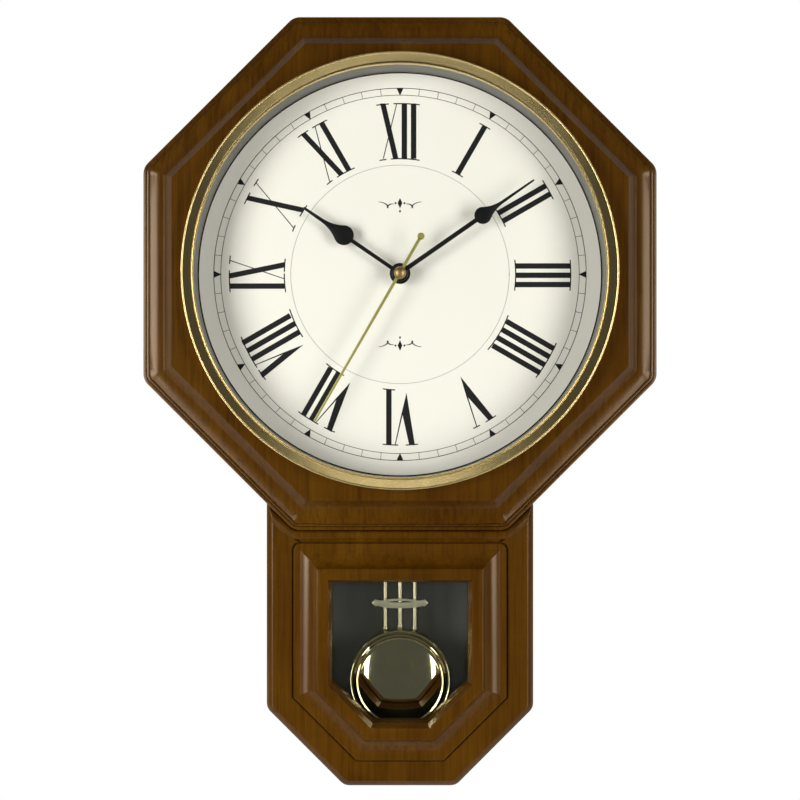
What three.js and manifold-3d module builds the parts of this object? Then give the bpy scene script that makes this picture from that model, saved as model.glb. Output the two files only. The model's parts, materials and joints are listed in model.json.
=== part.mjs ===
// Octagonal drop-dial pendulum wall clock with a radio-controlled quartz movement.
//
// Every piece is drawn as seen from the front: x to the right, y up, z out from the wall, with
// x = y = 0 on the axis of the hands and z = 0 on the wall. The last lines stand this front view
// up into the clock's own frame: +Z up, front towards -Y, origin where the wall hook carries it.
import * as THREE from 'three';
import { mergeVertices } from 'three/addons/utils/BufferGeometryUtils.js';
import Module from 'manifold-3d';

// ---------------------------------------------------------------- driving dimensions (mm)
const GAP = 0.3; // clearance between neighbouring pieces
const RIM_SIDES = 48; // facets round the large turned pieces

const HEAD_WIDTH = 330; // octagon across its flats
const HEAD_BACK_Z = 50; // where the front moulding meets the case behind it
const HEAD_EDGE_Z = 67; // front of the octagon's outer edge
const HEAD_FILLET_Z = 71.2; // front of the narrow fillets along the edge
const HEAD_BEAD_Z = 73.2; // crest of the broad bead between the fillets and the ramp
const HEAD_PANEL_Z = 80; // flat inner panel of the head
const HEAD_FILLET_WIDTH = 4.6; // from the outer edge in to the bead
const HEAD_BEAD_END = 14.3; // from the outer edge in to the crest of the bead
const HEAD_MOULD_WIDTH = 20.6; // from the outer edge in to the flat panel
const HEAD_HOLE_R = 132.5;
const HEAD_CORNER_R = 10;
const DROP_CORNER_R = 8;

const CASE_APOTHEM = 150; // octagonal box behind the moulding
const CASE_WALL = 10;
const CASE_LEDGE = 8; // extra thickness that the back panel rests on
const PANEL_Z = 4;
const PANEL_THICK = 3;

const DROP_HALF_WIDTH = 86.8;
const DROP_BOTTOM_Y = -332.2;
const DROP_CHAMFER = 50.5;
const DROP_BACK_Z = 2;
const DROP_FRONT_Z = 60;
const DROP_WALL = 9;
const DROP_EDGE_ROUND = 3.9;
const BEAD_WIDTH = 5.2; // rounded bead under the head
const BEAD_RISE = 1.6;

const FRAME_HALF_WIDTH = 69; // raised frame round the window
const FRAME_TOP_Y = -173.8;
const FRAME_BOTTOM_Y = -314.4;
const FRAME_CHAMFER = 40.8;
const FRAME_STRIP = 4.5; // flat strip outside the cove
const FRAME_COVE = 11.4;
const FRAME_FLAT = 7.1; // flat border round the opening
const FRAME_STEP = 1.8;
const FRAME_FRONT_Z = 70;
const WINDOW_TAPER = 1.9; // how far the opening's walls close in towards the back
const WINDOW_REBATE = 3; // the board's hole is this much wider than the opening

const BEZEL_R = 137.95;
const BEZEL_LIP_R = 129.8;
const BEZEL_FRONT_Z = 88;
const GLASS_R = 133.6;
const GLASS_Z = 83.6;
const GLASS_THICK = 2;

const DIAL_Z = 62; // printed face of the dial
const DIAL_THICK = 0.8;
const DIAL_R = 138.5;
const DIAL_BOARD_THICK = 2.2;

const MOVEMENT_HALF_WIDTH = 30;
const MOVEMENT_TOP_Y = 34;
const MOVEMENT_BOTTOM_Y = -58;
const MOVEMENT_BACK_Z = 38;
const MOVEMENT_FRONT_Z = 58;
const MOVEMENT_WALL = 1.5;
const COVER_THICK = 1.5;

const GEAR_MODULE = 0.5;
const BATTERY_R = 7.1;
const BATTERY_LENGTH = 49.5;
const BATTERY_Y = 22.5;
const BATTERY_Z = 44;

const MINUTE_ANGLE = 55.2; // clockwise from twelve
const HOUR_ANGLE = 304.3;
const SECOND_ANGLE = 210;

const PIVOT_Y = -38; // pendulum pivot
const BOB_Y = -267.1;
const BOB_R = 33.9;
const BOB_DOME_R = 27.6; // edge of the polished dome
const BOB_DOME_CURVE = 70; // radius of the sphere that the dome is part of
const BOB_FRONT_Z = 47.2;
const ROD_SPACING = 9.88;
const ROD_R = 1.45;
const ROD_Z = 38;

const HOOK_Y = 118; // the wall hook, above the axis of the hands

// ---------------------------------------------------------------- materials
function paint(color, roughness, metalness) {
  return () => new THREE.MeshStandardMaterial({ color, roughness, metalness });
}

const walnut = paint(0x6b3f12, 0.42, 0);
const darkBoard = paint(0x2a2b29, 0.85, 0);
const fibreboard = paint(0x7d5a38, 0.85, 0);
const brass = paint(0xc2a35a, 0.25, 1);
const steel = paint(0xb0b3b5, 0.4, 1);
const greyPlastic = paint(0x7b7767, 0.5, 0);
const blackPlastic = paint(0x1b1b1c, 0.5, 0);
const whitePlastic = paint(0xdedcd2, 0.45, 0);
const rubber = paint(0x202020, 0.9, 0);
const ivory = paint(0xf0eee1, 0.6, 0);
const clear = () => new THREE.MeshStandardMaterial({
  color: 0xf2f6f4, roughness: 0.05, metalness: 0, transparent: true, opacity: 0.25,
});
const copper = paint(0xa8562c, 0.35, 0.8);
const boardGreen = paint(0x1e5a34, 0.6, 0);
const batteryShell = paint(0x3a4450, 0.4, 0.6);

// ---------------------------------------------------------------- solids
const wasm = await Module();
wasm.setup();

function signedVolume(position, index) {
  const a = new THREE.Vector3();
  const b = new THREE.Vector3();
  const c = new THREE.Vector3();
  let total = 0;
  for (let i = 0; i < index.length; i += 3) {
    a.fromArray(position, index[i] * 3);
    b.fromArray(position, index[i + 1] * 3);
    c.fromArray(position, index[i + 2] * 3);
    total += a.dot(b.cross(c));
  }
  return total / 6;
}

// One closed manifold solid from any closed three.js geometry, with its faces turned outwards.
function solid(geometry) {
  const bare = new THREE.BufferGeometry();
  bare.setAttribute('position', geometry.getAttribute('position').clone());
  if (geometry.index) {
    bare.setIndex(geometry.index.clone());
  }
  const merged = mergeVertices(bare, 1e-4);
  const position = merged.getAttribute('position').array;
  const index = [];
  for (let i = 0; i < merged.index.count; i += 3) {
    const [a, b, c] = merged.index.array.slice(i, i + 3);
    if (a !== b && b !== c && c !== a) {
      index.push(a, b, c);
    }
  }
  if (signedVolume(position, index) < 0) {
    index.reverse();
  }
  return new wasm.Manifold(new wasm.Mesh({
    numProp: 3,
    vertProperties: new Float32Array(position),
    triVerts: new Uint32Array(index),
  }));
}

function geometryOf(manifold) {
  const mesh = manifold.getMesh();
  const geometry = new THREE.BufferGeometry();
  geometry.setAttribute('position', new THREE.BufferAttribute(mesh.vertProperties, 3));
  geometry.setIndex(new THREE.BufferAttribute(mesh.triVerts, 1));
  const flat = geometry.toNonIndexed();
  flat.computeVertexNormals();
  return flat;
}

const join = (first, ...others) => others.reduce((sum, other) => sum.add(other), first);
const cut = (first, ...tools) => tools.reduce((rest, tool) => rest.subtract(tool), first);

// A flat plate of the given outline between two distances from the wall.
function plate(outline, z0, z1) {
  const geometry = new THREE.ExtrudeGeometry(new THREE.Shape(outline), {
    depth: z1 - z0,
    bevelEnabled: false,
  });
  return solid(geometry.translate(0, 0, z0));
}

function block(x0, x1, y0, y1, z0, z1) {
  const geometry = new THREE.BoxGeometry(x1 - x0, y1 - y0, z1 - z0);
  return solid(geometry.translate((x0 + x1) / 2, (y0 + y1) / 2, (z0 + z1) / 2));
}

// A cylinder standing out from the wall.
function disc(x, y, radius, z0, z1, sides = 24) {
  const geometry = new THREE.CylinderGeometry(radius, radius, z1 - z0, sides);
  return solid(geometry.rotateX(Math.PI / 2).translate(x, y, (z0 + z1) / 2));
}

function bar(x0, x1, y, z, radius, sides = 20) {
  const geometry = new THREE.CylinderGeometry(radius, radius, x1 - x0, sides);
  return solid(geometry.rotateZ(Math.PI / 2).translate((x0 + x1) / 2, y, z));
}

// A body turned about an axis that stands out from the wall; profile is [radius, z] points.
function turned(profile, sides, x = 0, y = 0) {
  const points = profile.map(([radius, z]) => new THREE.Vector2(radius, z));
  return solid(new THREE.LatheGeometry(points, sides).rotateX(Math.PI / 2).translate(x, y, 0));
}

function turnedRing(profile, sides) {
  return turned([...profile, profile[0]], sides);
}

// ---------------------------------------------------------------- outlines
const point = (x, y) => new THREE.Vector2(x, y);

function octagon(apothem) {
  const corner = apothem / Math.cos(Math.PI / 8);
  return Array.from({ length: 8 }, (_, i) => {
    const angle = Math.PI / 8 + (i * Math.PI) / 4;
    return point(corner * Math.cos(angle), corner * Math.sin(angle));
  });
}

// A box outline with its two lower corners cut at 45 degrees, listed anticlockwise.
function dropOutline(halfWidth, topY, bottomY, chamfer) {
  return [
    point(-halfWidth + chamfer, bottomY),
    point(halfWidth - chamfer, bottomY),
    point(halfWidth, bottomY + chamfer),
    point(halfWidth, topY),
    point(-halfWidth, topY),
    point(-halfWidth, bottomY + chamfer),
  ];
}

// The same outline with every side moved inwards by a distance.
function inset(outline, distance) {
  const count = outline.length;
  const sideOf = (i) => {
    const from = outline[i];
    const to = outline[(i + 1) % count];
    const along = to.clone().sub(from).normalize();
    return { along, through: from.clone().add(point(-along.y, along.x).multiplyScalar(distance)) };
  };
  return outline.map((_, i) => {
    const before = sideOf((i + count - 1) % count);
    const after = sideOf(i);
    const turn = before.along.cross(after.along);
    const reach = after.through.clone().sub(before.through).cross(after.along) / turn;
    return before.through.clone().addScaledVector(before.along, reach);
  });
}

// Every corner replaced by a short arc, with one radius for all or one for each.
function rounded(outline, radii, steps) {
  const count = outline.length;
  return outline.flatMap((corner, i) => {
    const radius = Array.isArray(radii) ? radii[i] : radii;
    const before = outline[(i + count - 1) % count].clone().sub(corner).normalize();
    const after = outline[(i + 1) % count].clone().sub(corner).normalize();
    const half = before.angleTo(after) / 2;
    const start = corner.clone().addScaledVector(before, radius / Math.tan(half));
    const end = corner.clone().addScaledVector(after, radius / Math.tan(half));
    return Array.from({ length: steps + 1 }, (_, k) => {
      const t = k / steps;
      const out = start.clone().multiplyScalar((1 - t) ** 2);
      out.addScaledVector(corner, 2 * t * (1 - t));
      return out.addScaledVector(end, t ** 2);
    });
  });
}

// A slab whose outline follows a list of [inset, z] levels from its back to its front.
function mouldedSlab(outlineAt, levels) {
  const loops = levels.map(([distance, z]) => ({ outline: outlineAt(distance), z }));
  const count = loops[0].outline.length;
  const position = loops.flatMap(({ outline, z }) => outline.flatMap(({ x, y }) => [x, y, z]));
  const index = [];
  for (let level = 0; level + 1 < loops.length; level += 1) {
    for (let i = 0; i < count; i += 1) {
      const a = level * count + i;
      const b = level * count + ((i + 1) % count);
      index.push(a, b, b + count, a, b + count, a + count);
    }
  }
  const cap = (loop, first, flip) => {
    for (const [a, b, c] of THREE.ShapeUtils.triangulateShape(loop.outline, [])) {
      index.push(first + a, first + (flip ? c : b), first + (flip ? b : c));
    }
  };
  cap(loops[0], 0, true);
  cap(loops[loops.length - 1], (loops.length - 1) * count, false);
  const geometry = new THREE.BufferGeometry();
  geometry.setAttribute('position', new THREE.Float32BufferAttribute(position, 3));
  geometry.setIndex(index);
  return solid(geometry);
}

// Levels along a quarter of an ellipse. A bulge leaves the start level steeply and flattens out
// towards the front; a hollow starts flat and steepens.
function quarter(t0, z0, t1, z1, kind, steps) {
  return Array.from({ length: steps }, (_, k) => {
    const angle = ((k + 1) / steps) * (Math.PI / 2);
    const across = kind === 'bulge' ? 1 - Math.cos(angle) : Math.sin(angle);
    const out = kind === 'bulge' ? Math.sin(angle) : 1 - Math.cos(angle);
    return [t0 + (t1 - t0) * across, z0 + (z1 - z0) * out];
  });
}

// ---------------------------------------------------------------- gears
const TOOTH_TIP = 0.8; // tooth height outside and inside the pitch circle, in modules
const TOOTH_ROOT = 1.15;
const TIP_SHARE = 0.13; // half tooth thickness at tip and root, in pitches
const ROOT_SHARE = 0.27;

function gear(x, y, teeth, phase, z0, z1) {
  const pitchR = (teeth * GEAR_MODULE) / 2;
  const rootR = pitchR - TOOTH_ROOT * GEAR_MODULE;
  const tipR = pitchR + TOOTH_TIP * GEAR_MODULE;
  const pitch = (2 * Math.PI) / teeth;
  const outline = [];
  for (let tooth = 0; tooth < teeth; tooth += 1) {
    const centre = phase + tooth * pitch;
    for (const [radius, share] of [
      [rootR, -ROOT_SHARE], [tipR, -TIP_SHARE], [tipR, TIP_SHARE], [rootR, ROOT_SHARE],
    ]) {
      const angle = centre + share * pitch;
      outline.push(point(x + radius * Math.cos(angle), y + radius * Math.sin(angle)));
    }
  }
  return plate(outline, z0, z1);
}

// Phase that puts a driven gear's gap on a driving gear's tooth; towards is the direction between them.
function meshed(phase, teeth, drivenTeeth, towards) {
  return towards + Math.PI + Math.PI / drivenTeeth - ((phase - towards) * teeth) / drivenTeeth;
}

const WHEEL_TEETH = 36;
const PINION_TEETH = 6;
const SECONDS_TEETH = 30;
const CANNON_TEETH = 10;
const MOTION_TEETH = 30;
const MOTION_PINION_TEETH = 8;
const HOUR_TEETH = 32;

const spacing = (teethA, teethB) => ((teethA + teethB) * GEAR_MODULE) / 2;

// Arbor places: each stage sits at its centre distance from the one before.
const MINUTE_STAGE = { x: -spacing(WHEEL_TEETH, PINION_TEETH), y: 0 };
const ROTOR_DROP = Math.PI / 3;
const rotorStep = spacing(WHEEL_TEETH, PINION_TEETH);
const MINUTE_ROTOR = {
  x: MINUTE_STAGE.x - rotorStep * Math.cos(ROTOR_DROP),
  y: -rotorStep * Math.sin(ROTOR_DROP),
};
const SECONDS_STAGE = { x: spacing(SECONDS_TEETH, PINION_TEETH), y: 0 };
const SECONDS_ROTOR = {
  x: SECONDS_STAGE.x + rotorStep * Math.cos(ROTOR_DROP),
  y: -rotorStep * Math.sin(ROTOR_DROP),
};
const MOTION_STAGE = { x: 0, y: spacing(CANNON_TEETH, MOTION_TEETH) };
const UP = Math.PI / 2;
const LEFT = Math.PI;

// ---------------------------------------------------------------- case
const HEAD_LEAST_R = 0.6; // rounding left at the inner levels of the moulding

// Narrow stepped fillets along the edge of the head: [distance in from the edge, z].
const HEAD_FILLETS = [
  [0.9, HEAD_EDGE_Z + 0.4],
  [2.5, HEAD_EDGE_Z + 0.6],
  [2.7, HEAD_EDGE_Z + 2.2],
  [4.4, HEAD_EDGE_Z + 2.7],
  [HEAD_FILLET_WIDTH, HEAD_FILLET_Z],
];

function headFrame() {
  const outlineAt = (distance) => {
    const corner = Math.max(HEAD_CORNER_R - distance, HEAD_LEAST_R);
    return rounded(inset(octagon(HEAD_WIDTH / 2), distance), corner, 2);
  };
  const rampStart = HEAD_BEAD_END + 0.3;
  const levels = [
    [0, HEAD_BACK_Z],
    [0, HEAD_EDGE_Z - 0.6],
    ...HEAD_FILLETS,
    ...quarter(HEAD_FILLET_WIDTH, HEAD_FILLET_Z, HEAD_BEAD_END, HEAD_BEAD_Z, 'bulge', 4),
    [rampStart, HEAD_BEAD_Z + 0.1],
    [HEAD_MOULD_WIDTH - 0.5, HEAD_PANEL_Z - 0.4],
    [HEAD_MOULD_WIDTH, HEAD_PANEL_Z],
  ];
  return cut(
    mouldedSlab(outlineAt, levels),
    disc(0, 0, HEAD_HOLE_R, HEAD_BACK_Z - 1, HEAD_PANEL_Z + 1, RIM_SIDES),
    disc(0, 0, DIAL_R + GAP, HEAD_BACK_Z - 1, DIAL_Z + 0.05, RIM_SIDES),
  );
}

function headCase() {
  const ledgeZ = PANEL_Z + PANEL_THICK;
  const inner = CASE_APOTHEM - CASE_WALL;
  return cut(
    plate(octagon(CASE_APOTHEM), 0, HEAD_BACK_Z),
    plate(octagon(inner), -1, ledgeZ),
    plate(octagon(inner - CASE_LEDGE), ledgeZ - 1, HEAD_BACK_Z + 1),
    block(-PASSAGE_HALF_WIDTH, PASSAGE_HALF_WIDTH, -CASE_APOTHEM - 1,
      -CASE_APOTHEM + CASE_WALL + CASE_LEDGE + 1, PASSAGE_BACK_Z, PASSAGE_FRONT_Z),
    ...backScrewPlaces().map(([x, y]) => disc(x, y, SCREW_SHANK_R + GAP, ledgeZ - 1, BACK_SCREW_END + 2, 12)),
  );
}

const SCREW_SHANK_R = 1.3;
const SCREW_HEAD_R = 2.8;
const SCREW_SLOT_HALF = 2.2;
const SCREW_SLOT_WIDTH = 1;
const BACK_SCREW_END = 16; // how far in the screws reach, from the wall
const HANGER_SCREW_END = 11;
const PASSAGE_HALF_WIDTH = 45; // gap in the case's floor that the pendulum hangs through
const PASSAGE_BACK_Z = 14;
const PASSAGE_FRONT_Z = 46;

function backScrewPlaces() {
  const reach = (CASE_APOTHEM - CASE_WALL - CASE_LEDGE / 2) * Math.SQRT1_2;
  return [[-reach, reach], [reach, reach], [reach, -reach], [-reach, -reach]];
}

const SCREW_HEAD_THICK = 1.4;

function screw(x, y, headZ, shankEnd) {
  const slot = SCREW_SLOT_WIDTH / 2;
  const slotZ = headZ + SCREW_HEAD_THICK / 2;
  return cut(
    join(disc(x, y, SCREW_HEAD_R, headZ, headZ + SCREW_HEAD_THICK, 16),
      disc(x, y, SCREW_SHANK_R, headZ + 1, shankEnd, 12)),
    block(x - slot, x + slot, y - SCREW_SLOT_HALF, y + SCREW_SLOT_HALF, headZ - 1, slotZ),
    block(x - SCREW_SLOT_HALF, x + SCREW_SLOT_HALF, y - slot, y + slot, headZ - 1, slotZ),
  );
}

const SERVICE_HALF_WIDTH = 40; // opening that gives access to the battery and the buttons
const SERVICE_MARGIN = 8;
const SERVICE_TOP_Y = MOVEMENT_TOP_Y + SERVICE_MARGIN;
const SERVICE_BOTTOM_Y = MOVEMENT_BOTTOM_Y - SERVICE_MARGIN;
const HOOK_CLEARANCE_R = 8.5; // room behind the keyhole for the head of the wall screw

function backPanel() {
  const z1 = PANEL_Z + PANEL_THICK;
  const screwHole = ([x, y]) => disc(x, y, SCREW_SHANK_R + GAP, PANEL_Z - 1, z1 + 1, 12);
  return cut(
    plate(octagon(CASE_APOTHEM - CASE_WALL - GAP), PANEL_Z, z1),
    block(-SERVICE_HALF_WIDTH, SERVICE_HALF_WIDTH, SERVICE_BOTTOM_Y, SERVICE_TOP_Y, PANEL_Z - 1, z1 + 1),
    disc(0, HOOK_Y - 4, HOOK_CLEARANCE_R, PANEL_Z - 1, z1 + 1, 20),
    ...backScrewPlaces().map(screwHole),
    ...hangerScrewPlaces().map(screwHole),
  );
}

const HANGER_THICK = 1.2;
const HANGER_HALF_WIDTH = 21;
const KEYHOLE_R = 4.6; // lets the screw's head through
const KEYHOLE_DROP = 6; // centre of the round hole below the hook point
const SLOT_R = 2.4; // holds the screw's shank
const SLOT_DROP = 2.2;

const HANGER_RISE = 9; // top of the plate above the hook point
const HANGER_CORNER_R = 4;
const HANGER_SCREW_X = 15;

const hangerScrewPlaces = () => [[-HANGER_SCREW_X, HOOK_Y], [HANGER_SCREW_X, HOOK_Y]];

function hangerPlate() {
  const z0 = PANEL_Z - HANGER_THICK;
  const low = HOOK_Y - 2 * KEYHOLE_DROP;
  const high = HOOK_Y + HANGER_RISE;
  const outline = rounded([
    point(-HANGER_HALF_WIDTH, low), point(HANGER_HALF_WIDTH, low),
    point(HANGER_HALF_WIDTH, high), point(-HANGER_HALF_WIDTH, high),
  ], HANGER_CORNER_R, 3);
  return cut(
    plate(outline, z0, PANEL_Z),
    disc(0, HOOK_Y - KEYHOLE_DROP, KEYHOLE_R, z0 - 1, PANEL_Z + 1, 20),
    disc(0, HOOK_Y - SLOT_DROP, SLOT_R, z0 - 1, PANEL_Z + 1, 16),
    block(-SLOT_R, SLOT_R, HOOK_Y - KEYHOLE_DROP, HOOK_Y - SLOT_DROP, z0 - 1, PANEL_Z + 1),
    ...hangerScrewPlaces().map(([x, y]) => disc(x, y, SCREW_SHANK_R + GAP, z0 - 1, PANEL_Z + 1, 12)),
  );
}

// The drop's front runs up against the underside of the octagon.
function dropFrontOutline() {
  const half = HEAD_WIDTH / 2;
  const diagonal = half * Math.SQRT2 + GAP * Math.SQRT2;
  const topY = -half - GAP;
  return [
    point(-DROP_HALF_WIDTH + DROP_CHAMFER, DROP_BOTTOM_Y),
    point(DROP_HALF_WIDTH - DROP_CHAMFER, DROP_BOTTOM_Y),
    point(DROP_HALF_WIDTH, DROP_BOTTOM_Y + DROP_CHAMFER),
    point(DROP_HALF_WIDTH, DROP_HALF_WIDTH - diagonal),
    point(diagonal + topY, topY),
    point(-diagonal - topY, topY),
    point(-DROP_HALF_WIDTH, DROP_HALF_WIDTH - diagonal),
    point(-DROP_HALF_WIDTH, DROP_BOTTOM_Y + DROP_CHAMFER),
  ];
}

// Rounded bead along the top of the drop, just under the head.
function topBead() {
  const outline = dropFrontOutline();
  const [sideTop, rightTop, leftTop, leftSideTop] = outline.slice(3, 7);
  const low = inset(outline, BEAD_WIDTH);
  const strip = [
    leftSideTop, point(-DROP_HALF_WIDTH, low[6].y - BEAD_WIDTH), low[5], low[4],
    point(DROP_HALF_WIDTH, low[3].y - BEAD_WIDTH), sideTop, rightTop, leftTop,
  ];
  const levels = [
    [0, DROP_FRONT_Z - 3],
    [0, DROP_FRONT_Z],
    ...quarter(0, DROP_FRONT_Z, 2, DROP_FRONT_Z + BEAD_RISE, 'bulge', 3),
  ];
  return mouldedSlab((distance) => inset(strip, distance), levels);
}

function frameOutline() {
  return dropOutline(FRAME_HALF_WIDTH, FRAME_TOP_Y, FRAME_BOTTOM_Y, FRAME_CHAMFER);
}

const FRAME_WIDTH = FRAME_STRIP + FRAME_COVE + FRAME_FLAT;

function dropFront() {
  const outlineAt = (distance) => {
    const low = Math.max(DROP_CORNER_R - distance, 1);
    return rounded(inset(dropFrontOutline(), distance), [low, low, low, 1, 1, 1, 1, low], 2);
  };
  const levels = [
    [0, HEAD_BACK_Z],
    [0, DROP_FRONT_Z - DROP_EDGE_ROUND],
    ...quarter(0, DROP_FRONT_Z - DROP_EDGE_ROUND, DROP_EDGE_ROUND, DROP_FRONT_Z - 0.5, 'bulge', 3),
    [DROP_EDGE_ROUND + 0.3, DROP_FRONT_Z],
  ];
  const hole = inset(frameOutline(), FRAME_WIDTH - WINDOW_REBATE);
  const front = join(mouldedSlab(outlineAt, levels), topBead());
  return cut(front, plate(hole, HEAD_BACK_Z - 1, DROP_FRONT_Z + 3));
}

function windowFrame() {
  const outlineAt = (distance) => inset(frameOutline(), distance);
  const stripZ = DROP_FRONT_Z + FRAME_STEP;
  const coveEnd = FRAME_STRIP + FRAME_COVE;
  const levels = [
    [0, DROP_FRONT_Z],
    [0, stripZ - 0.6],
    [0.6, stripZ],
    [FRAME_STRIP, stripZ + 0.02],
    ...quarter(FRAME_STRIP, stripZ, coveEnd - 0.4, FRAME_FRONT_Z - 0.3, 'hollow', 5),
    [coveEnd, FRAME_FRONT_Z],
  ];
  const opening = mouldedSlab(outlineAt, [
    [FRAME_WIDTH + WINDOW_TAPER, DROP_FRONT_Z - 1],
    [FRAME_WIDTH, FRAME_FRONT_Z + 0.2],
  ]);
  return cut(mouldedSlab(outlineAt, levels), opening);
}

const WINDOW_GLASS_THICK = 2.1;

function windowGlass() {
  const outline = inset(frameOutline(), FRAME_WIDTH - WINDOW_REBATE + GAP);
  return plate(outline, DROP_FRONT_Z - 0.1 - WINDOW_GLASS_THICK, DROP_FRONT_Z - 0.1);
}

const DROP_SETBACK = 1.5; // the front board stands this far proud of the case behind it

function dropCase() {
  const outside = DROP_HALF_WIDTH - DROP_SETBACK;
  const inside = outside - DROP_WALL;
  const shoulder = inside - 2;
  const underHead = (CASE_APOTHEM + GAP) * Math.SQRT2;
  const outline = [
    point(-outside + DROP_CHAMFER - 0.6, DROP_BOTTOM_Y + DROP_SETBACK),
    point(outside - DROP_CHAMFER + 0.6, DROP_BOTTOM_Y + DROP_SETBACK),
    point(outside, DROP_BOTTOM_Y + DROP_CHAMFER + 0.9),
    point(outside, outside - underHead),
    point(shoulder, shoulder - underHead),
    point(-shoulder, shoulder - underHead),
    point(-outside, outside - underHead),
    point(-outside, DROP_BOTTOM_Y + DROP_CHAMFER + 0.9),
  ];
  const lowInside = inset(outline, DROP_WALL);
  const cavity = [
    lowInside[0], lowInside[1], lowInside[2],
    point(inside, -100), point(-inside, -100), lowInside[7],
  ];
  return cut(plate(outline, DROP_BACK_Z, HEAD_BACK_Z), plate(cavity, 0, HEAD_BACK_Z + 1));
}

const BACKBOARD_Z = 9;

function dropBackboard() {
  const halfWidth = DROP_HALF_WIDTH - DROP_SETBACK - DROP_WALL - GAP;
  const bottom = DROP_BOTTOM_Y + DROP_SETBACK + DROP_WALL + GAP;
  const outline = dropOutline(halfWidth, -CASE_APOTHEM - GAP * 2, bottom, DROP_CHAMFER - 5.4);
  return plate(outline, BACKBOARD_Z, BACKBOARD_Z + PANEL_THICK);
}

const WALL_PAD_R = 3.8;
const WALL_PAD_X = DROP_HALF_WIDTH - 6;
const WALL_PAD_Y = DROP_BOTTOM_Y + DROP_CHAMFER + 14;

function wallPad(side) {
  return disc(side * WALL_PAD_X, WALL_PAD_Y, WALL_PAD_R, 0, DROP_BACK_Z, 20);
}

// ---------------------------------------------------------------- face
const BEZEL_BAND_Z = BEZEL_FRONT_Z - 0.7; // flat band between the two rounded rims

function bezel() {
  return turnedRing([
    [BEZEL_R, HEAD_PANEL_Z],
    [BEZEL_R, BEZEL_FRONT_Z - 1],
    [BEZEL_R - 0.8, BEZEL_FRONT_Z - 0.3],
    [BEZEL_R - 1.8, BEZEL_BAND_Z],
    [BEZEL_LIP_R + 1.2, BEZEL_BAND_Z],
    [BEZEL_LIP_R + 0.6, BEZEL_FRONT_Z],
    [BEZEL_LIP_R, BEZEL_FRONT_Z - 0.5],
    [BEZEL_LIP_R, GLASS_Z + GLASS_THICK],
    [GLASS_R + GAP, GLASS_Z + GLASS_THICK],
    [GLASS_R + GAP, HEAD_PANEL_Z],
  ], RIM_SIDES);
}

const REFLECTOR_WALL = 1.2;
const GASKET_THICK = 1.6;

function reflectorRing() {
  const top = GLASS_Z - GASKET_THICK;
  const outside = HEAD_HOLE_R - 0.6;
  return turnedRing([
    [outside, DIAL_Z], [outside, top], [outside - REFLECTOR_WALL, top], [outside - REFLECTOR_WALL, DIAL_Z],
  ], RIM_SIDES);
}

function glassGasket() {
  const inside = BEZEL_LIP_R + 1;
  return turnedRing([
    [GLASS_R, GLASS_Z - GASKET_THICK], [GLASS_R, GLASS_Z], [inside, GLASS_Z],
    [inside, GLASS_Z - GASKET_THICK],
  ], RIM_SIDES);
}

const DIAL_HOLE_R = 4.4;

function dial() {
  return cut(disc(0, 0, DIAL_R, DIAL_Z - DIAL_THICK, DIAL_Z, RIM_SIDES),
    disc(0, 0, DIAL_HOLE_R, DIAL_Z - 2, DIAL_Z + 1, 24));
}

function dialBoard() {
  const front = DIAL_Z - DIAL_THICK;
  return cut(disc(0, 0, DIAL_R, front - DIAL_BOARD_THICK, front, RIM_SIDES),
    disc(0, 0, DIAL_HOLE_R, front - 4, front + 1, 24));
}

// ---------------------------------------------------------------- movement
const BUTTON_X = 18;
const BUTTON_Y = -31;
const BUTTON_R = 2;

const MOVEMENT_CORNER_R = 3;
const RIB_Y = 12.5; // the wall between the battery's room and the gears
const BATTERY_WINDOW_HALF = 8;
const PIVOT_R = 1.5; // headed boss on the cover that the pendulum lever swings on
const PIVOT_HEAD_R = 2.6;

function movementCase() {
  const x = MOVEMENT_HALF_WIDTH;
  const wall = MOVEMENT_WALL;
  const outline = rounded([
    point(-x, MOVEMENT_BOTTOM_Y), point(x, MOVEMENT_BOTTOM_Y), point(x, MOVEMENT_TOP_Y),
    point(-x, MOVEMENT_TOP_Y),
  ], MOVEMENT_CORNER_R, 3);
  const shell = cut(
    plate(outline, MOVEMENT_BACK_Z, MOVEMENT_FRONT_Z),
    plate(inset(outline, wall), MOVEMENT_BACK_Z - 1, MOVEMENT_FRONT_Z - wall),
    disc(0, 0, BUSH_R + GAP, MOVEMENT_BACK_Z, MOVEMENT_FRONT_Z + 1, 24),
  );
  const rib = block(-x + 1, x - 1, RIB_Y, RIB_Y + wall, MOVEMENT_BACK_Z + 0.2, MOVEMENT_FRONT_Z - 6);
  return join(shell, rib);
}

function movementCover() {
  const x = MOVEMENT_HALF_WIDTH;
  const outline = rounded([
    point(-x, MOVEMENT_BOTTOM_Y), point(x, MOVEMENT_BOTTOM_Y), point(x, MOVEMENT_TOP_Y),
    point(-x, MOVEMENT_TOP_Y),
  ], MOVEMENT_CORNER_R, 3);
  const z0 = MOVEMENT_BACK_Z - COVER_THICK;
  const lid = cut(
    plate(outline, z0, MOVEMENT_BACK_Z),
    block(-x + 1.8, x - 1.8, BATTERY_Y - BATTERY_WINDOW_HALF, BATTERY_Y + BATTERY_WINDOW_HALF,
      z0 - 1, MOVEMENT_BACK_Z + 1),
    disc(-BUTTON_X, BUTTON_Y, BUTTON_R + GAP, z0 - 1, MOVEMENT_BACK_Z + 1, 16),
    disc(BUTTON_X, BUTTON_Y, BUTTON_R + GAP, z0 - 1, MOVEMENT_BACK_Z + 1, 16),
  );
  const pin = disc(0, PIVOT_Y, PIVOT_R, z0 - 6, z0 + 0.5, 16);
  return join(lid, pin, disc(0, PIVOT_Y, PIVOT_HEAD_R, z0 - 7, z0 - 5.6, 16));
}

const BUSH_R = 4;
const BUSH_BORE_R = 2.7;
const BUSH_FRONT_Z = 66;

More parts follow.
